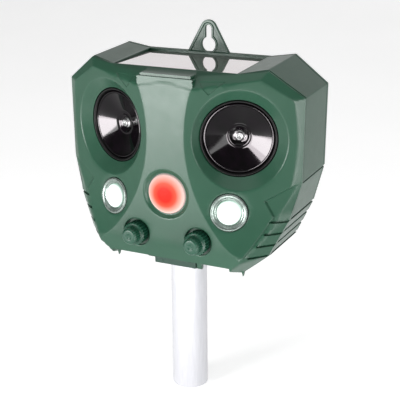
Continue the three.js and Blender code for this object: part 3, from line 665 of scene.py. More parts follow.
def loop_distance(points, loop):
    """Distance to the nearest edge of a closed outline, negative inside it."""
    a, b = loop[None], np.roll(loop, -1, axis=0)[None]
    p = points[:, None]
    t = np.clip(np.sum((p - a) * (b - a), axis=2) / np.sum((b - a) ** 2, axis=2), 0, 1)[..., None]
    gap = np.linalg.norm(p - (a + t * (b - a)), axis=2).min(axis=1)
    return np.where(inside(points, loop), -gap, gap)


def bowl_y(x, z):
    """Height of the speaker bowl: a cone on a tilted axis. Its height along the axis depends on the
    radius, which depends on the height, so a few repeats of the same step settle both."""
    sin, cos = math.sin(SPEAKER["yaw"]), math.cos(SPEAKER["yaw"])
    slope = SPEAKER["rise"] / (SPEAKER["dish"] - SPEAKER["bore"])
    h = np.zeros_like(x)
    for _ in range(12):
        across = (np.abs(x) - SPEAKER["x"] - h * sin) / cos
        radius = np.hypot(across, z - SPEAKER["z"])
        h = (radius - SPEAKER["bore"]) * slope
    return SPEAKER["y"] - h * cos + across * sin


print("seam at the shoulder", seam_y(SHOULDER[0]), "strip half as wide as", round(waist_x(WAIST_Z), 1))

# %% Bevels and cheeks: three corners give a plane
BEVELS = [
    ((75, 10.8, 98), (75, 10.8, 50), (70, 6.8, 60)),
    ((55.1, 4.3, 113.1), (62.4, 3.7, 102.0), (75, 10.8, 98)),
    ((40.3, 0, 110.8), (48.4, -1.6, 107.6), (55.1, 4.3, 113.1)),
    ((58.1, 2.4, 7.4), (40.6, -9.1, 0), (41.7, 4.2, -6.6)),
]
CHEEK_TOP, CHEEK_LOW = (60.8, 0.94, 31.2), (46.9, -10.07, 8)
WALL_BREAK, WALL_TOP, WALL_LOW = (75, 10.6, 50.4), (68.1, 6.9, 28.1), (58.1, 2.4, 7.4)
CHEEK_EASE = {"z": 29, "run": 8}


def cheek_y(side, z):
    """Two planes that share the edge under the lamp, easing into a third one towards the break line."""
    low = soft_max(plane_y(CHEEK_TOP, CHEEK_LOW, WALL_TOP, side, z),
                   plane_y(CHEEK_LOW, WALL_TOP, WALL_LOW, side, z), EDGE)
    high = plane_y(CHEEK_TOP, WALL_BREAK, WALL_LOW, side, z)
    return low + (high - low) * smooth_step((z - CHEEK_EASE["z"]) / CHEEK_EASE["run"])


def bevel_y(side, z):
    """The rearmost of the bevel planes of one side."""
    y = cheek_y(side, z)
    for corners in BEVELS:
        y = soft_max(y, plane_y(*corners, side, z), EDGE)
    return y


def face_planes(side, z):
    """The rearmost of the strip, lobe, chin and top planes, the brow's step, then the bevels."""
    y = STRIP_Y + LOBE_SLOPE * (side - waist_x(z))
    y = soft_max(y, np.full_like(y, STRIP_Y), STRIP_EDGE)
    y = soft_max(y, STRIP_Y + CHIN["slope"] * (CHIN["z"] - z), CHIN["edge"])
    y = soft_max(y, TOP["slope"] * (z - TOP["z"]), TOP["edge"])
    y = y + step_inside(BROW, side, z, BROW_STEP)
    return soft_max(y, bevel_y(side, z), EDGE)


def step_inside(loop, side, z, size):
    """A level set back inside an outline, by the rise, over the run."""
    away = loop_distance(np.stack([side, z], axis=1), loop)
    return size["rise"] * smooth_step(-away / size["run"])


def lip(away, size):
    """The rounded edge of a hole: the rise times the square of what is left of the run."""
    return size["rise"] * np.clip(1 - away / size["run"], 0, 1) ** 2


print("brow at", face_planes(np.array([65.0]), np.array([40.0])))

# %% The whole face
WELL_PLAY = 0.05


def face_y(x, z):
    """The planes, then steps, bowls, recesses, wells and slots, each worked out from x and z."""
    side = np.abs(x)
    y = face_planes(side, z)
    for top, front in LEDGES:
        half = LEDGE_HALF - LEDGE_LEAN * (z > LEDGES[0][0])
        on_step = (side < half) & (z > LEDGE_FOOT) & (z < top)
        y = np.minimum(y, np.where(on_step, front, FAR_BACK))
    y = y + step_inside(NOTCH, side, z, NOTCH_STEP)
    y = soft_max(y, bowl_y(x, z), EDGE)
    y = y + lip(np.hypot(side - LED["x"], z - LED["z"]) - LED["bore"], LAMP_LIP)
    away = np.hypot(x, z - PIR["z"])
    y = y + LENS_DIP["rise"] * smooth_step((PIR["recess"] + LENS_DIP["lead"] - away) / LENS_DIP["run"])
    away = np.hypot(side - KNOB["x"], z - KNOB["z"]) - KNOB["well"]
    y = np.where(away <= WELL_PLAY, KNOB["floor"], y + lip(away, WELL_LIP))
    for gx, gz in LOUVRES:
        in_slot = (side > gx - LOUVRE_REACH) & (np.abs(z - gz) < LOUVRE_HEIGHT / 2)
        y = y + np.where(in_slot, LOUVRE_DEPTH, 0.0)
    return y


print("strip at", STRIP_Y, "shoulder at", face_y(np.array([SHOULDER[0] - 0.1]), np.array([90.0])))

# %% [markdown]
# ## Where the face has points
# A height is only as sharp as the points that carry it. An even grid fine enough for every crease
# would hold millions of points. So the flats get a coarse staggered grid, and each crease, step and
# ring gets its own close rows of points, which the triangles then have to pass through.

# %% Points where the face needs them
def tilted_ring(centre, axis, radius, count):
    """The (x, z) of a circle square to a tilted axis."""
    u, v, _ = axis_frame(axis)
    angle = np.linspace(0, 2 * np.pi, count, endpoint=False)
    ring = np.asarray(centre) + radius * (np.cos(angle)[:, None] * u + np.sin(angle)[:, None] * v)
    return ring[:, [0, 2]]


def speaker_axis(side):
    return np.array([side * math.sin(SPEAKER["yaw"]), -math.cos(SPEAKER["yaw"]), 0.0])


def led_centre(side):
    y = STRIP_Y + LOBE_SLOPE * (LED["x"] - waist_x(np.array([LED["z"]]))[0])
    return np.array([side * LED["x"], y, LED["z"]])


def led_axis(side):
    drop = LED["z"] - WAIST_Z
    tilt = drop / math.sqrt(WAIST_RADIUS ** 2 - drop ** 2)
    axis = np.array([side * LOBE_SLOPE, -1.0, -LOBE_SLOPE * tilt])
    return axis / np.linalg.norm(axis)


def mirrored(points):
    """Points of the right side with their twins on the left."""
    return np.concatenate([points, points * [-1, 1]])


def strip_of(line, offsets, spacing):
    """Copies of an open line, moved sideways by each offset and cut into even steps."""
    line = np.asarray(line, dtype=float)
    length = np.concatenate([[0], np.cumsum(np.linalg.norm(np.diff(line, axis=0), axis=1))])
    t = np.linspace(0, length[-1], max(2, int(length[-1] / spacing)))
    even = np.stack([np.interp(t, length, line[:, k]) for k in (0, 1)], axis=1)
    step = np.gradient(even, axis=0)
    normal = np.stack([-step[:, 1], step[:, 0]], axis=1) / np.linalg.norm(step, axis=1)[:, None]
    return np.concatenate([even + normal * offset for offset in offsets])


def face_holes():
    """Speaker, lamp, lens and dial shaft openings, as outlines in x and z."""
    holes = [circle((0, PIR["z"]), PIR["lens"] + 0.3, 120)]
    for side in (-1, 1):
        centre = np.array([side * SPEAKER["x"], SPEAKER["y"], SPEAKER["z"]])
        holes.append(tilted_ring(centre, speaker_axis(side), SPEAKER["bore"], 160))
        holes.append(tilted_ring(led_centre(side), led_axis(side), LED["bore"], 90))
        holes.append(circle((side * KNOB["x"], KNOB["z"]), KNOB["bore"], 40))
    return holes


print("openings in the face:", len(face_holes()))

# %% Rows of points along rings, creases and steps
LENS_RINGS = (12.4, 12.8, 13.3, 13.8, 14.3, 14.8, 15.3)
BOWL_RINGS = np.concatenate([np.arange(22.6, 26.2, 0.8), np.arange(26.3, 29.2, 0.35)])
WELL_RINGS = (-0.3, 0.02, 0.1, 0.3, 0.5, 0.8)
LEDGE_ROWS = (105.5, 105.8, 106.1, 106.4, 107.56, 107.64, 109.16, 109.24)
BOTH_SIDES = (-0.04, 0.04)    # a row just before a sharp step and one just behind it


def ring_points():
    """Rings round the lens, the speaker bowls, the lamps and the dial wells."""
    rings = [circle((0, PIR["z"]), r, 120) for r in LENS_RINGS]
    for side in (-1, 1):
        centre = np.array([side * SPEAKER["x"], SPEAKER["y"], SPEAKER["z"]])
        axis = speaker_axis(side)
        slope = SPEAKER["rise"] / (SPEAKER["dish"] - SPEAKER["bore"])
        for r in BOWL_RINGS:
            height = min((r - SPEAKER["bore"]) * slope, SPEAKER["rise"])
            rings.append(tilted_ring(centre + axis * height, axis, r, 160))
        rings += [tilted_ring(led_centre(side), led_axis(side), LED["bore"] + d, 90) for d in (0.2, 0.4, 0.7)]
        knob = (side * KNOB["x"], KNOB["z"])
        rings += [circle(knob, KNOB["well"] + d, 72) for d in WELL_RINGS]
        rings += [circle(knob, r, 40) for r in (5.0, 6.6)]
    return rings


def louvre_lines():
    """Rows above, below and at the blind end of every slot in the cheek."""
    lines = []
    for gx, gz in LOUVRES:
        inner = gx - LOUVRE_REACH
        for level in (-0.7, -0.6, 0.6, 0.7):
            lines.append(strip_of([(inner - 0.3, gz + level), (gx + 1, gz + level)], (0,), 0.5))
        for shift in (-0.06, 0.06):
            lines.append(strip_of([(inner + shift, gz - 0.7), (inner + shift, gz + 0.7)], (0,), 0.3))
    return lines


def ledge_lines():
    """Rows along the two steps over the strip and down their ends."""
    first, second = LEDGE_HALF, LEDGE_HALF - LEDGE_LEAN
    lines = [strip_of([(0.4, level), (first, level)], (0,), 0.7) for level in LEDGE_ROWS]
    lines.append(strip_of([(first, 105), (first, 107.7)], BOTH_SIDES, 0.4))
    lines.append(strip_of([(second, 107.5), (second, 109.4)], BOTH_SIDES, 0.4))
    return lines


def face_detail():
    """Extra points along creases, steps and rings, so that every edge has its own row of points."""
    z = np.linspace(7.4, 107, 90)
    lines = [strip_of(np.stack([waist_x(z), z], axis=1), (-0.5, -0.2, 0, 0.2, 0.5), 0.9)]
    lines.append(strip_of(OUTLINE[:6], (-0.4, -1.0, -2.0, -3.2, -4.0, -4.5, -5.0), 1.0))
    lines.append(strip_of(BROW[:6], (-0.15, 0.1, 0.4, 0.8, 1.0), 0.7))
    closed = np.concatenate([NOTCH, NOTCH[:1]])
    lines.append(strip_of(closed, (-0.35, -0.2, -0.05, 0.05, 0.2, 0.35), 0.5))
    lines += louvre_lines() + ledge_lines()
    lines.append(strip_of([(0.4, CHIN["z"]), (45, CHIN["z"])], (-0.8, -0.4, 0, 0.4, 0.8), 1.2))
    return np.concatenate(ring_points() + [mirrored(line) for line in lines])


def thin_base(spacing, taken, clearance):
    """A staggered grid over the face, without the points that lie near one already taken."""
    rows = np.arange(-8, 115, spacing * 0.87)
    columns = np.arange(-76, 76, spacing)
    x, z = np.meshgrid(columns, rows)
    x = x + (np.arange(len(rows)) % 2)[:, None] * spacing / 2
    points = np.stack([x.ravel(), z.ravel()], axis=1)
    cell = lambda p: np.floor((p + 200) / clearance).astype(int)
    busy = np.zeros((1200, 1200), dtype=bool)
    at = cell(taken)
    for dx in (-1, 0, 1):
        for dz in (-1, 0, 1):
            busy[at[:, 0] + dx, at[:, 1] + dz] = True
    at = cell(points)
    return points[~busy[at[:, 0], at[:, 1]]]


print("rows of detail hold", len(face_detail()), "points")

# %% [markdown]
# ## The front cover
# The cover is one thin moulding: the face, a wall behind it, and a rim that runs back to the parting
# line. A solid block cut by many tools would give the same outside, but no wall and no openings to
# look into. So the face's triangles are used twice, once in front and once a wall further back.

# %% Front cover
SPACING = {"outline": 0.8, "flats": 1.3, "clear": 0.55, "margin": 0.15}
OUTSET = 0.02                 # the outline grows by this, so that no point lies right on it
SILL = {"x": 13.5, "front": -6.8, "back": 0.7, "low": 0.02, "reach": 0.5}
SILL_OPENING = rectangle(-12, 12, -6, -0.6)
PAST_SEAM = 2.5


def face_triangles():
    """Delaunay triangles over the outline, with the openings cut out and every detail point kept.
    Where the bevels fall far behind the parting line, the housing takes over."""
    outline = resample_loop(offset_loop(OUTLINE[::-1], OUTSET), SPACING["outline"])
    holes = face_holes()
    detail = face_detail()
    taken = np.concatenate([detail, outline, *holes])
    extra = np.concatenate([detail, thin_base(SPACING["flats"], taken, SPACING["clear"])])
    keep = inside(extra, OUTLINE) & (loop_distance(extra, OUTLINE) < -SPACING["margin"])
    for hole in holes:
        keep &= ~inside(extra, hole)
    flat, triangles = triangulate([outline] + holes, extra[keep])
    middle = flat[triangles].mean(axis=1)
    in_front = face_y(middle[:, 0], middle[:, 1]) < seam_y(middle[:, 0]) + PAST_SEAM
    return flat, triangles[in_front]


def open_edges(triangles):
    """Edges that belong to one triangle only, in the order of that triangle."""
    edges = np.concatenate([triangles[:, [0, 1]], triangles[:, [1, 2]], triangles[:, [2, 0]]])
    _, back, counts = np.unique(np.sort(edges, axis=1), axis=0, return_inverse=True, return_counts=True)
    return edges[counts[back.ravel()] == 1]


def front_cover():
    """The triangles lifted to face_y, a second layer a wall behind, and a strip of quads along every
    open edge. At the outline the second layer reaches the seam. A sill closes the chin from below."""
    flat, triangles = face_triangles()
    rim = open_edges(triangles)
    height = face_y(flat[:, 0], flat[:, 1])
    over_sill = (np.abs(flat[:, 0]) < SILL["x"]) & (flat[:, 1] < SILL["reach"])
    on_outline = (loop_distance(flat, OUTLINE) > -0.1) & ~over_sill
    behind = np.where(on_outline, np.maximum(seam_y(flat[:, 0]), height + 0.3), height + WALL)
    count = len(flat)
    points = np.concatenate([
        np.stack([flat[:, 0], height, flat[:, 1]], axis=1),
        np.stack([flat[:, 0], behind, flat[:, 1]], axis=1),
    ])
    faces = triangles.tolist() + (triangles[:, ::-1] + count).tolist()
    faces += np.stack([rim[:, 1], rim[:, 0], rim[:, 0] + count, rim[:, 1] + count], axis=1).tolist()
    outer = rectangle(-SILL["x"], SILL["x"], SILL["front"], SILL["back"])
    return joined((points, faces), slab(outer, [SILL_OPENING], SILL["low"], WALL, 0.1, "z"))


cover = make_piece("front_cover_shell", *front_cover(), GREEN, "head", ["front_cover"], "green_plastic")
weld(cover)
print(f"front cover: {len(cover.data.vertices)} points")

# %% [markdown]
# ## Speakers, lamps and the motion lens
# A speaker is a black basket whose round lip stands in the bowl, a glossy cone and a silver dome. A
# lamp is a ring reflector round a clear dome. The motion lens is a shallow milky cap. All are turned,
# so each is one profile of radius and height, rounded at its corners and carried round its axis.

# %% Speakers
SIDES = (("left", -1), ("right", 1))


def cap_profile(radius, height, base, steps=12):
    """A quarter ellipse from the rim to the axis."""
    angle = np.linspace(0, np.pi / 2, steps)
    return np.stack([radius * np.cos(angle), base + height * np.sin(angle)], axis=1)


# radius and height pairs, in millimetres over the mouth of the bowl
BASKET = [
    (6, -15), (11.5, -15), (22.4, -4.8), (25, -4.8), (25, -2.8), (21.7, -2.8), (21.7, 0), (20.9, 0),
    (20.2, -1.2), (21.2, -4.2), (10.9, -13.6), (6, -13.6),
]
HORN_BACK = [(3.4, -9.6), (19.9, -3.3)]
CAP = [(0, -9.6), (3.1, -9.6), (3.1, -7.8), (2.3, -7.4), (2.1, -6.1), (1.3, -6.1), (1.1, -6.9), (0, -7.0)]
HORN = {"rim": 18.4, "width": 15.0, "top": -1.5, "depth": 6.6, "curve": 1.15}
HUB_RING = {"radius": 5.8, "width": 0.9, "height": 0.5}
ROLL = {"radius": 19.2, "half_width": 0.75, "base": -1.75, "height": 0.7}
horns = {}


def horn_wall():
    """From roll to hub: the fall is the depth times 1 - (1 - share) ** curve, steeper at the rim. The
    ring round the hub is a bell curve on top."""
    share = np.linspace(0, 1, 60)
    radius = HORN["rim"] - HORN["width"] * share
    fall = HORN["top"] - HORN["depth"] * (1 - (1 - share) ** HORN["curve"])
    ring = HUB_RING["height"] * np.exp(-((radius - HUB_RING["radius"]) / HUB_RING["width"]) ** 2)
    return np.stack([radius, fall + ring], axis=1)


def roll_profile():
    """The half-round roll that joins the horn to its basket."""
    angle = np.linspace(0, np.pi, 9)
    return np.stack([ROLL["radius"] + ROLL["half_width"] * np.cos(angle),
                     ROLL["base"] + ROLL["height"] * np.sin(angle)], axis=1)


def add_speaker(name, side):
    """Basket, horn with its roll, and cap, all turned about the tilted axis of the bowl."""
    centre = np.array([side * SPEAKER["x"], SPEAKER["y"], SPEAKER["z"]])
    axis = speaker_axis(side)
    make_piece(f"speaker_basket_{name}", *turned(fillet_loop(BASKET, 0.45), centre, axis, 160), BLACK,
               "head", [f"speaker_frame_{name}"], "black_plastic")
    horn = np.concatenate([HORN_BACK, roll_profile(), horn_wall()])
    horns[name] = make_piece(f"speaker_horn_{name}", *turned(horn, centre, axis, 160), SPEAKER_BLACK,
                             "head", [f"speaker_cone_{name}"], "speaker_black")
    make_piece(f"speaker_cap_{name}", *turned(rounded(CAP, 0.5), centre, axis, 64), STEEL,
               "head", [f"speaker_dome_{name}"], "steel")


print("horn depth", HORN["depth"], "mm behind its roll")

# %% Lamps
def add_lamp(name, side):
    """A ring with a sloping inner wall, and a clear dome that stands in it."""
    centre, axis = led_centre(side), led_axis(side)
    lens, radius = LED["lens"], LED["radius"]
    bezel = fillet_loop([
        (lens + 0.3, -4.2), (radius + 1.4, -4.2), (radius + 1.4, -2.8), (radius - 0.1, -2.8),
        (radius - 0.1, 0.4), (radius - 0.9, 0.9), (lens + 1.6, 0.5), (lens + 1.2, -0.2), (lens + 0.3, -0.5),
    ], 0.3)
    make_piece(f"led_ring_{name}", *turned(bezel, centre, axis, 120), REFLECTOR, "head",
               [f"led_bezel_{name}"], "led_reflector")
    dome = np.concatenate([[(0, -4.0), (lens - 0.2, -4.0), (lens, -3.8), (lens, -0.6)],
                           cap_profile(lens, 2.2, -0.4)])
    dome[-1, 0] = 0
    make_piece(f"led_dome_{name}", *turned(dome, centre, axis, 96), LED_WHITE, "head",
               [f"led_lens_{name}"], "led_white")


print("lamp rings are", 2 * LED["radius"], "mm across")

# %% Motion lens, and all turned parts in place
def add_motion_lens():
    """A thin cap, an inner and an outer quarter ellipse, on a flange that stays behind the face."""
    lens = PIR["lens"]
    inner = cap_profile(lens - 1, 2.5, -1.8)[::-1]
    inner[0, 0] = 0
    outer = cap_profile(lens, 3.0, -1.2, 16)
    outer[-1, 0] = 0
    flange = [(lens - 1, -4.4), (lens + 2, -4.4), (lens + 2, -2.8), (lens, -2.8)]
    profile = np.concatenate([inner, flange, outer])
    make_piece("motion_lens", *turned(profile, np.array([0, STRIP_Y, PIR["z"]]), (0, -1, 0), 120),
               PIR_WINDOW, "head", ["pir_lens"], "pir_window")


for name, side in SIDES:
    add_speaker(name, side)
    add_lamp(name, side)
add_motion_lens()

# %% [markdown]
# ## Dials
# A dial is a knurled skirt under a narrower cap with a pointer rib. The knurl is the radius of the
# skirt rows times a squared-off cosine, 24 waves to a turn; the rib widens the cap rows on one side.
# Cutting 24 grooves one by one would take as many tool bodies and leave ragged edges.

# %% Two dials
DIAL = {"skirt": 6.7, "cap": 5.0, "length": 12.2, "bore": 3.3, "ridges": 24}
DIAL_BASE = KNOB["floor"] - 0.3
RIDGE, CAP_RIDGE, RIB = 0.035, 0.02, {"height": 0.09, "half_angle": 0.12}


def dial_profile():
    """Bore, base, skirt, shoulder, cap and top, from the axis inside to the axis on top."""
    skirt, cap, length, bore = DIAL["skirt"], DIAL["cap"], DIAL["length"], DIAL["bore"]
    return rounded([(0, 9), (bore, 9), (bore, 0), (skirt, 0), (skirt, 3.2), (skirt, 6.4), (cap + 0.3, 6.9),
                    (cap, 7.6), (cap, length - 1.2), (cap - 0.9, length - 0.1), (cap - 1.8, length),
                    (1.6, length), (1.3, length - 0.35), (0, length - 0.35)], 0.5)


def knurl(profile):
    """Radius factor per angle and row: ridges on the skirt, finer ones on the cap, and a rib."""
    def wave(angle, row):
        radius = profile[:, 0][row]
        height = profile[:, 1][row]
        on_skirt = (radius > 6.0) & (height > 0.4) & (height < 6.3)
        on_cap = (radius > 4.3) & (radius < 5.2) & (height > 7.2)
        teeth = np.tanh(2.5 * np.cos(DIAL["ridges"] * angle))
        off_rib = np.mod(angle - np.pi / 2 + np.pi, 2 * np.pi) - np.pi
        rib = np.exp(-(off_rib / RIB["half_angle"]) ** 4)
        return 1 + RIDGE * teeth * on_skirt + (CAP_RIDGE * teeth + RIB["height"] * rib) * on_cap
    return wave


for name, side in SIDES:
    profile = dial_profile()
    place = np.array([side * KNOB["x"], DIAL_BASE, KNOB["z"]])
    make_piece(f"dial_{name}", *turned(profile, place, (0, -1, 0), 288, knurl(profile)), KNOB_GREEN,
               f"knob_{name}", [f"knob_{name}"], "knob_green")
print("dial tip at y =", DIAL_BASE - DIAL["length"])

# %% [markdown]
# ## Housing and back
# Behind the seam the head is one section carried straight back: the outline of the face with its
# groove and louvre slots, a wall inside it, and the solar recess sunk into the top. So the housing is
# a slab with one big hole, whose front level follows the seam and the bevels. Cutting the slots
# afterwards would work too, but drawing them in the outline keeps every edge rounded alike.

# %% The section of the head
GAP = 0.3
BACK_PLATE = 2.2
BREAK = {"z": SIDE_WALL[0][1], "width": 0.9, "depth": 0.8}
SLOT = {"half": LOUVRE_HEIGHT / 2, "depth": 1.7}
RECESS = {"x": 38.6, "front": 2.4, "back": 43.6, "floor": 106.7}


def side_x(z):
    """The outline's half width at a height on the side wall."""
    wall = np.array(SIDE_WALL[::-1] + [SHOULDER])
    return np.interp(z, wall[:, 1], wall[:, 0])


def notch(low, high, depth):
    """Four corners of a slot in the side wall, from its upper to its lower edge."""
    middle = side_x((low + high) / 2) - depth
    return [(side_x(high), high), (middle, high), (middle, low), (side_x(low), low)]


def half_section():
    """Right half of the section, from the ear down to the chin."""
    points = [EAR_TOP, SHOULDER] + notch(BREAK["z"] - BREAK["width"], BREAK["z"], BREAK["depth"])
    for _, z in LOUVRES:
        points += notch(z - SLOT["half"], z + SLOT["half"], SLOT["depth"])
    return points + CHIN_STEP


def both_halves(half):
    """A right half and its mirror image as one outline."""
    return np.array(half + [(-x, z) for x, z in reversed(half)], dtype=float)


def drafted(body):
    """The head grows a little taller with depth: z times 1 + DRAFT * y."""
    points, faces = body
    points = np.array(points)
    points[:, 2] *= 1 + DRAFT * points[:, 1]
    return points, faces


def housing_front(p):
    """The front level of the housing: a gap behind the seam, or the bevel planes where they cut it."""
    return np.maximum(seam_y(p[:, 0]) + GAP, bevel_y(np.abs(p[:, 0]), p[:, 1]))


print("section has", len(half_section()) * 2, "corners")

# %% Main housing
HINGE = {"y": 3.6, "z": -7.4, "radius": 1.5, "root": 1.0, "ears": ((12.5, 15.6), (-13.2, -10.0))}
HOLLOW = [(40.3, 104.3), (54.0, 110.6), (72.6, 96.6), (71.9, 50.0), (65.0, 28.1), (55.0, 9.0),
          (41.5, -2.6), (41.0, 2.4)]
OVERLAP = 0.05                # how far joined walls reach into each other


def hinge_ear(x0, x1):
    """A plate with a half-round foot, square to x."""
    angle = np.linspace(np.pi, 2 * np.pi, 13)
    y, z, r = HINGE["y"], HINGE["z"], HINGE["radius"]
    foot = np.stack([y + r * np.cos(angle), z + r * np.sin(angle)], axis=1)
    outline = np.concatenate([[(y - r, HINGE["root"])], foot, [(y + r, HINGE["root"])]])
    return slab(outline, [], x0, x1, 0.25, "x")


def foot_nub(side):
    """The small pointed foot under each end of the chin."""
    outline = np.array([(side * 40.6, -5.0), (side * 42.6, -5.4), (side * 41.7, -8.95)])
    return slab(outline, [], 3.4, 5.6, 0.2, "y")


def main_housing():
    """The section with its hollow, the two walls that close the solar recess, ears and feet."""
    back = BACK_Y - BACK_PLATE - GAP
    pocket = [(RECESS["x"], RECESS["floor"]), (RECESS["x"], EAR_FOOT[1]), EAR_FOOT]
    outer = resample_loop(fillet_loop(both_halves(pocket + half_section()), 0.6, 3), 2.5)
    shell = slab(outer, [resample_loop(both_halves(HOLLOW), 4.0)], housing_front, back, 0.25)
    x = RECESS["x"] + OVERLAP
    low, high = RECESS["floor"] - 2 * OVERLAP, EAR_FOOT[1] - OVERLAP
    front_wall = slab(rectangle(-x, x, low, high - 1.6), [], 1.1, RECESS["front"], 0.15)
    back_wall = slab(rectangle(-x, x, low, high), [], RECESS["back"], back, 0.25)
    ears = [hinge_ear(*ends) for ends in HINGE["ears"]]
    return joined(drafted(shell), drafted(front_wall), drafted(back_wall), *ears, foot_nub(1), foot_nub(-1))


housing = make_piece("housing_shell", *main_housing(), GREEN, "head", ["main_housing"], "green_plastic")
weld(housing)

# %% [markdown]
# ## The back
# The head is closed by a flat plate. It carries the hanging tab, a thin web inside a raised rim with a
# keyhole for a wall screw, and the opening of the battery door. Tab and plate are one moulding, so
# they are one piece here. The tab is a hair thinner, or its faces would lie in those of the plate.

# %% Outlines of the tab, the keyhole and the door
TAB = {"tip": 131.6, "half": 14.5, "base": 111.0, "round": 5.2, "foot": 110.6, "sunk": 0.05}
TAB_RIM, EYE_RIM, WEB_SUNK = 1.7, 1.3, 0.6
KEYHOLE = {"eye": 4.5, "eye_z": 117.0, "slot": 2.0, "slot_z": 126.6}
CASE_SCREWS = [(67.4, 88.0), (59.6, 25.0)]
DOOR = {"x": 31.0, "bottom": 36.5, "top": 94.0, "ear": 6.0, "drop": 7.0, "screw_z": 33.2}


def tab_outline(inset=0.0):
    """A triangle with a round top, drawn smaller by the inset, whose foot is hidden in the plate."""
    top = TAB["tip"] - TAB["round"]
    lean = math.atan2(TAB["half"] - TAB["round"], top - TAB["base"])
    angle = np.linspace(lean, np.pi - lean, 25)
    r = TAB["round"] - inset
    cap = np.stack([r * np.cos(angle), top + r * np.sin(angle)], axis=1)
    low = TAB["foot"] + inset
    half = TAB["half"] - (low - TAB["base"]) / math.tan(np.pi / 2 - lean) - inset * 1.1
    return np.concatenate([[(-half, low), (half, low)], cap])


def keyhole(grow=0.0):
    """A round eye with a narrow slot above it, for a screw head and its shank."""
    eye, slot = KEYHOLE["eye"] + grow, KEYHOLE["slot"] + grow
    neck = math.acos(slot / eye)
    low = np.linspace(np.pi - neck, neck + 2 * np.pi, 37)
    high = np.linspace(0, np.pi, 15)
    return np.concatenate([
        np.stack([eye * np.cos(low), KEYHOLE["eye_z"] + eye * np.sin(low)], axis=1),
        np.stack([slot * np.cos(high), KEYHOLE["slot_z"] + slot * np.sin(high)], axis=1),
    ])


def door_outline(gap):
    """A square door with a narrow ear for its screw, drawn smaller by the gap."""
    x, ear, bottom, drop = DOOR["x"] - gap, DOOR["ear"] - gap, DOOR["bottom"] + gap, DOOR["drop"]
    half = [(x, DOOR["top"] - gap), (x, bottom), (ear, bottom), (ear, bottom - drop)]
    return both_halves(half)


print("tab", 2 * TAB["half"], "mm wide at its base")

# %% Back cover
PLATE_SHARP = math.radians(12)
SCREW_HOLE = 3.4


def back_cover():
    """The plate with its door opening and screw holes, then the web, rim and keyhole rim of the tab."""
    outline = resample_loop(fillet_loop(both_halves([EAR_FOOT] + half_section()), 0.6, 3), 3.0)
    outline[:, 1] *= 1 + DRAFT * BACK_Y
    low, high = BACK_Y - BACK_PLATE, BACK_Y
    screws = [circle((side * x, z), SCREW_HOLE, 40) for side in (-1, 1) for x, z in CASE_SCREWS]
    plate = slab(outline, [fillet_loop(door_outline(0), 0.8)] + screws, low, high, 0.35)
    web = slab(tab_outline(WEB_SUNK), [keyhole(0.4)], low + WEB_SUNK, high - WEB_SUNK, 0.1)
    low, high = low + TAB["sunk"], high - TAB["sunk"]
    rim = slab(tab_outline(), [tab_outline(TAB_RIM)], low, high, 0.3)
    eye_rim = slab(keyhole(EYE_RIM), [keyhole()], low, high, 0.3)
    return joined(plate, web, rim, eye_rim)


cover = make_piece("back_shell", *back_cover(), GREEN, "head", ["back_cover"], "green_plastic")
weld(cover, PLATE_SHARP)

# %% Battery door
DOOR_HOLE = 3.1


def battery_door():
    """A plate with a screw ear and five grip bars, all just below the level of the back."""
    hole = circle((0, DOOR["screw_z"]), DOOR_HOLE, 40)
    outline = fillet_loop(door_outline(GAP), 0.6)
    plate = slab(outline, [hole], BACK_Y - 2, BACK_Y - 0.4, 0.3)
    bars = []
    for level in np.linspace(80, 90, 5):
        bar = fillet_loop(rectangle(-13, 13, level - 0.7, level + 0.7), 0.6)
        bars.append(slab(bar, [], BACK_Y - 1.2, BACK_Y - 0.02, 0.3))
    return joined(plate, *bars)


door = make_piece("battery_lid", *battery_door(), GREEN, "head", ["battery_door"], "green_plastic")
weld(door)

# %% [markdown]
# ## Screws
# Four long screws hold the back and a short one the door. Each is turned like the speakers, and its
# cross recess is pressed in afterwards: points of the crown that lie in the cross simply sink.

# %% Screws
CROSS = {"half_width": 0.13, "reach": 0.62, "depth": 0.7}


def screw(centre, head, shank, length):
    """A pan head on a pointed shank. The cross is given in shares of the head's radius."""
    crown = np.stack([np.linspace(head, 0, 16), 0.35 * np.sin(np.linspace(0, np.pi / 2, 16)) - 0.4], axis=1)
    profile = np.concatenate([[(0, -length), (shank * 0.5, -length), (shank, 1.5 - length), (shank, -1.2),
                               (head - 0.2, -1.2), (head, -1.0)], crown])
    profile[-1, 0] = 0
    points, faces = turned(profile, centre, (0, 1, 0), 96)
    local = points - centre
    across, along = np.abs(local[:, 0]), np.abs(local[:, 2])
    in_cross = np.minimum(across, along) < head * CROSS["half_width"]
    in_cross &= np.maximum(across, along) < head * CROSS["reach"]
    points[:, 1] -= np.where(in_cross & (local[:, 1] > -0.5), CROSS["depth"], 0)
    return points, faces


for name, side in SIDES:
    for level, (x, z) in zip(("upper", "lower"), CASE_SCREWS):
        place = np.array([side * x, BACK_Y - 0.1, z])
        make_piece(f"screw_{level}_{name}", *screw(place, 3.0, 1.5, 34), STEEL, "head",
                   [f"case_screw_{level}_{name}"], "steel")
make_piece("screw_door", *screw(np.array([0, BACK_Y - 0.1, DOOR["screw_z"]]), 2.8, 1.4, 8), STEEL, "head",
           ["battery_door_screw"], "steel")

# %% [markdown]
# ## Flap, stake and solar window
# The rubber flap closes the sockets from below and turns on a barrel between two knuckles. The stake
# is a plain thin tube with a rounded lip, in a socket moulded under the head. The solar window is a
# thin clear plate over the cells.

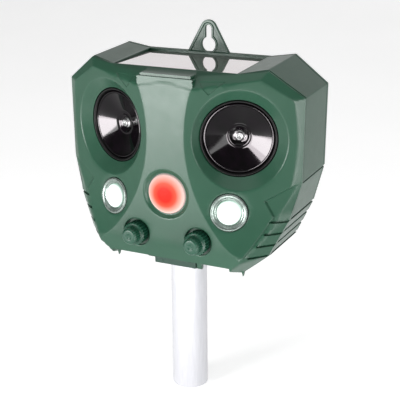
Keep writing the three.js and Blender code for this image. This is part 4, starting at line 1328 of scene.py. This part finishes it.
# %% Flap
def weather_flap():
    """The lid's side outline carried across, a shorter one past the hinge ear, and the barrel."""
    front, hinge_y, z = -7.0, HINGE["y"], HINGE["z"]
    lid = np.array([(front, -0.45), (2.6, -0.45), (2.6, z + 1), (hinge_y, z + 1), (hinge_y, z - 0.4),
                    (1.2, z - 1.15), (0.8, -4.2), (front, -1.4)])
    main = slab(fillet_loop(lid, 0.5), [], -9.5, 12.2, 0.4, "x")
    clipped = np.array([(front, -0.45), (1.8, -0.45), (1.8, z - 0.95), (1.2, z - 1.15), (0.8, -4.2),
                        (front, -1.4)])
    end = slab(fillet_loop(clipped, 0.5), [], -15.0, -9.4, 0.4, "x")
    barrel = np.array([(1.05, -9.6), (1.5, -9.6), (1.5, 12.1), (1.05, 12.1)])
    knuckle = turned(fillet_loop(barrel, 0.2), np.array([0, hinge_y, z]), (1, 0, 0), 40)
    return joined(main, end, knuckle)


flap = make_piece("rubber_flap", *weather_flap(), RUBBER, "flap", ["weather_flap"], "flap_rubber")
weld(flap)

# %% Stake and its socket
TUBE_OUTER, TUBE_INNER, TUBE_TOP = 11.0, 9.8, 28.0
foot = np.array([0.0, STAKE_Y, -STAKE_DROP])
wall = [(TUBE_INNER, 0), (TUBE_OUTER, 0)] + [(TUBE_OUTER, z) for z in (30, 60, 90)]
wall += [(TUBE_OUTER, STAKE_DROP + TUBE_TOP), (TUBE_INNER, STAKE_DROP + TUBE_TOP)]
make_piece("stake_pipe", *turned(fillet_loop(wall, 0.5), foot, (0, 0, 1), 160), TUBE, "stake",
           ["stake_tube"], "stake_metal")

collar = fillet_loop([(11.3, TUBE_TOP + 0.6), (11.3, -3), (13.2, -3), (13.2, 2.7), (14.3, 2.7), (14.3, 4.7),
                      (13.2, 4.7), (13.2, TUBE_TOP + 0.6)], 0.4)
make_piece("stake_collar", *turned(collar, np.array([0, STAKE_Y, 0.0]), (0, 0, 1), 120), BLACK, "head",
           ["stake_socket"], "black_plastic")

# %% Solar window
WINDOW = {"x": 38.2, "inset": 0.4, "low": 109.15, "top": 110.25, "rise": 0.02}


def window_top(p):
    """The window rises backwards with the rim round it."""
    return WINDOW["top"] + WINDOW["rise"] * p[:, 1]


ends = RECESS["front"] + WINDOW["inset"], RECESS["back"] - WINDOW["inset"]
window = fillet_loop(rectangle(-WINDOW["x"], WINDOW["x"], *ends), 0.8)
plate = slab(window, [], WINDOW["low"], window_top, 0.2, "z")
glass = make_piece("solar_cover", *plate, SOLAR_GLASS, "head", ["solar_window"], "solar_glass")
weld(glass)

# %% [markdown]
# ## Pieces kept from the CAD model
# Boards, cells, contacts, pins and other inner parts are seen only when the object is opened. Their
# CAD shapes are right as they are, so each keeps its mesh and gets a finish in its material slots.

# %% Finishes for the kept pieces
FINISHES = {
    "green_plastic": GREEN, "knob_green": KNOB_GREEN, "speaker_black": SPEAKER_BLACK,
    "black_plastic": BLACK, "flap_rubber": RUBBER, "steel": STEEL, "stake_metal": TUBE,
    "circuit_board": BOARD, "led_white": LED_WHITE, "led_chip": PHOSPHOR, "led_reflector": REFLECTOR,
    "pir_window": PIR_WINDOW, "solar_cells": SOLAR_CELLS, "solar_glass": SOLAR_GLASS, "cell_wrap": WRAP,
}
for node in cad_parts.values():
    for place in node.material_slots:
        slot_name = place.material.name.split(".")[0]
        place.material = FINISHES[slot_name]
print(len(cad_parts), "nodes finished")

# %% [markdown]
# ## Studio
# A panel stands in front, left of the camera, and the flat strip mirrors it. A dimmer one stands to the
# right for the bevels, a small one low in front lifts the chin, and a large one hangs overhead. The
# floor is pale and plain, and bends up behind the object, so that no edge shows and the solar panel
# has something pale to mirror.

# %% Camera
TARGET = to_frame([11.18, 0.0, 33.66])
AZIMUTH, ELEVATION, ROLL = math.radians(26.78), math.radians(18.62), math.radians(-0.63)
DISTANCE = 0.5832             # metres from the target
LENS, SENSOR, SHIFT = 90.86, 36, (0.019, 0.005)
backward = np.array([math.sin(AZIMUTH) * math.cos(ELEVATION),
                     -math.cos(AZIMUTH) * math.cos(ELEVATION), math.sin(ELEVATION)])
rightward = np.array([math.cos(AZIMUTH), math.sin(AZIMUTH), 0.0])
upward = np.cross(backward, rightward)
rolled_right = math.cos(ROLL) * rightward + math.sin(ROLL) * upward
rolled_up = -math.sin(ROLL) * rightward + math.cos(ROLL) * upward
camera_data = bpy.data.cameras.new("camera")
camera_data.lens, camera_data.sensor_width = LENS, SENSOR
camera_data.shift_x, camera_data.shift_y = SHIFT
camera = bpy.data.objects.new("camera", camera_data)
axes = np.stack([rolled_right, rolled_up, backward], axis=1)
camera.matrix_world = Matrix.Translation(TARGET + backward * DISTANCE) @ Matrix(axes.tolist()).to_4x4()
bpy.context.scene.collection.objects.link(camera)
bpy.context.scene.camera = camera
print("camera at", [round(v, 3) for v in camera.location])

# %% Floor
FLOOR = {"half": 3.0, "front": -3.0, "bend": 2.2, "radius": 1.2, "top": 3.0, "below": 0.0005, "glow": 0.54}


def pale_floor():
    """A sheet that runs back under the object, bends up in a quarter circle and ends as a wall."""
    material, nodes, links, shader, where = new_material("studio_floor")
    tone = ramp(nodes, links, noise(nodes, links, where, 3), [(0.2, grey(0.90)), (0.8, grey(0.93))])
    links.new(tone, shader.inputs["Base Color"])
    links.new(tone, shader.inputs["Emission Color"])
    shader.inputs["Emission Strength"].default_value = FLOOR["glow"]
    shader.inputs["Roughness"].default_value = 0.9
    shader.inputs["Specular IOR Level"].default_value = 0.1
    angle = np.linspace(0, np.pi / 2, 17)
    bend = np.stack([FLOOR["bend"] + FLOOR["radius"] * np.sin(angle),
                     FLOOR["radius"] * (1 - np.cos(angle)) - FLOOR["below"]], axis=1)
    path = np.concatenate([[(FLOOR["front"], -FLOOR["below"])], bend, [(bend[-1, 0], FLOOR["top"])]])
    x = np.array([-FLOOR["half"], FLOOR["half"]])
    points = np.stack([np.tile(x, len(path)), np.repeat(path[:, 0], 2), np.repeat(path[:, 1], 2)], axis=1)
    mesh = bpy.data.meshes.new("floor")
    mesh.from_pydata(points.tolist(), [], grid_faces(len(path), 2, wrap_columns=False))
    mesh.shade_smooth()
    mesh.materials.append(material)
    floor = bpy.data.objects.new("floor", mesh)
    bpy.context.scene.collection.objects.link(floor)
    print("floor bends up", FLOOR["bend"], "m behind the object")


pale_floor()

# %% Lights
AIM = Vector((0, 0, 0.16))    # the middle of the head


def panel_light(name, azimuth, elevation, distance, width, height, radiance, tint=(1, 1, 1)):
    """A rectangular lamp on a sphere round the head, facing it. Power = radiance * area * pi."""
    data = bpy.data.lights.new(name, "AREA")
    data.shape = "RECTANGLE"
    data.size, data.size_y = width, height
    data.energy = radiance * width * height * math.pi
    data.color = tint
    lamp = bpy.data.objects.new(name, data)
    bpy.context.scene.collection.objects.link(lamp)
    a, e = math.radians(azimuth), math.radians(elevation)
    back = Vector((math.sin(a) * math.cos(e), -math.cos(a) * math.cos(e), math.sin(e)))
    lamp.location = AIM + back * distance
    lamp.rotation_euler = back.to_track_quat("Z", "Y").to_euler()
    return lamp


panel_light("front_panel", -26, -2, 0.55, 0.20, 0.24, 17.0)
panel_light("right_panel", 54, -4, 0.55, 0.16, 0.26, 10.0)
panel_light("overhead", 10, 78, 1.5, 1.8, 1.6, 1.0)
panel_light("low_panel", 24, -36, 0.20, 0.07, 0.05, 7.0)

# %% [markdown]
# The black horns are the glossiest part. Two tall panels, one on each side of the camera, are seen
# only by the horns: each paints one bright fan from hub to rim. Light linking keeps them off the rest.

# %% Fans in the horns
horn_group = bpy.data.collections.new("horns")
for horn in horns.values():
    horn_group.objects.link(horn)
for fan in (panel_light("fan_left", -10, 0, 0.5, 0.38, 0.34, 50.0, (1.0, 0.92, 0.96)),
            panel_light("fan_right", 38, -5, 0.5, 0.18, 0.22, 38.0, (1.0, 0.92, 0.96))):
    fan.light_linking.receiver_collection = horn_group

# %% [markdown]
# Past the edges of the floor one sees the world. It gives only a little light from all sides, but has
# to look as pale as the floor, so a mix tells what is seen directly from what only gives light.

# %% World
AMBIENT, BACKDROP = 0.22, 0.93


def background(node, strength):
    """A white background of one strength."""
    node.inputs["Color"].default_value = (*grey(1.0), 1.0)
    node.inputs["Strength"].default_value = strength
    return node.outputs["Background"]


world = bpy.data.worlds.new("studio")
bpy.context.scene.world = world
world.use_nodes = True
nodes, links = world.node_tree.nodes, world.node_tree.links
seen = nodes.new("ShaderNodeMixShader")
links.new(nodes.new("ShaderNodeLightPath").outputs["Is Camera Ray"], seen.inputs["Fac"])
links.new(background(nodes["Background"], AMBIENT), seen.inputs[1])
links.new(background(nodes.new("ShaderNodeBackground"), BACKDROP), seen.inputs[2])
links.new(seen.outputs["Shader"], nodes["World Output"].inputs["Surface"])
bpy.context.scene.view_settings.view_transform = "Standard"
print("world gives", AMBIENT, "and shows", BACKDROP)
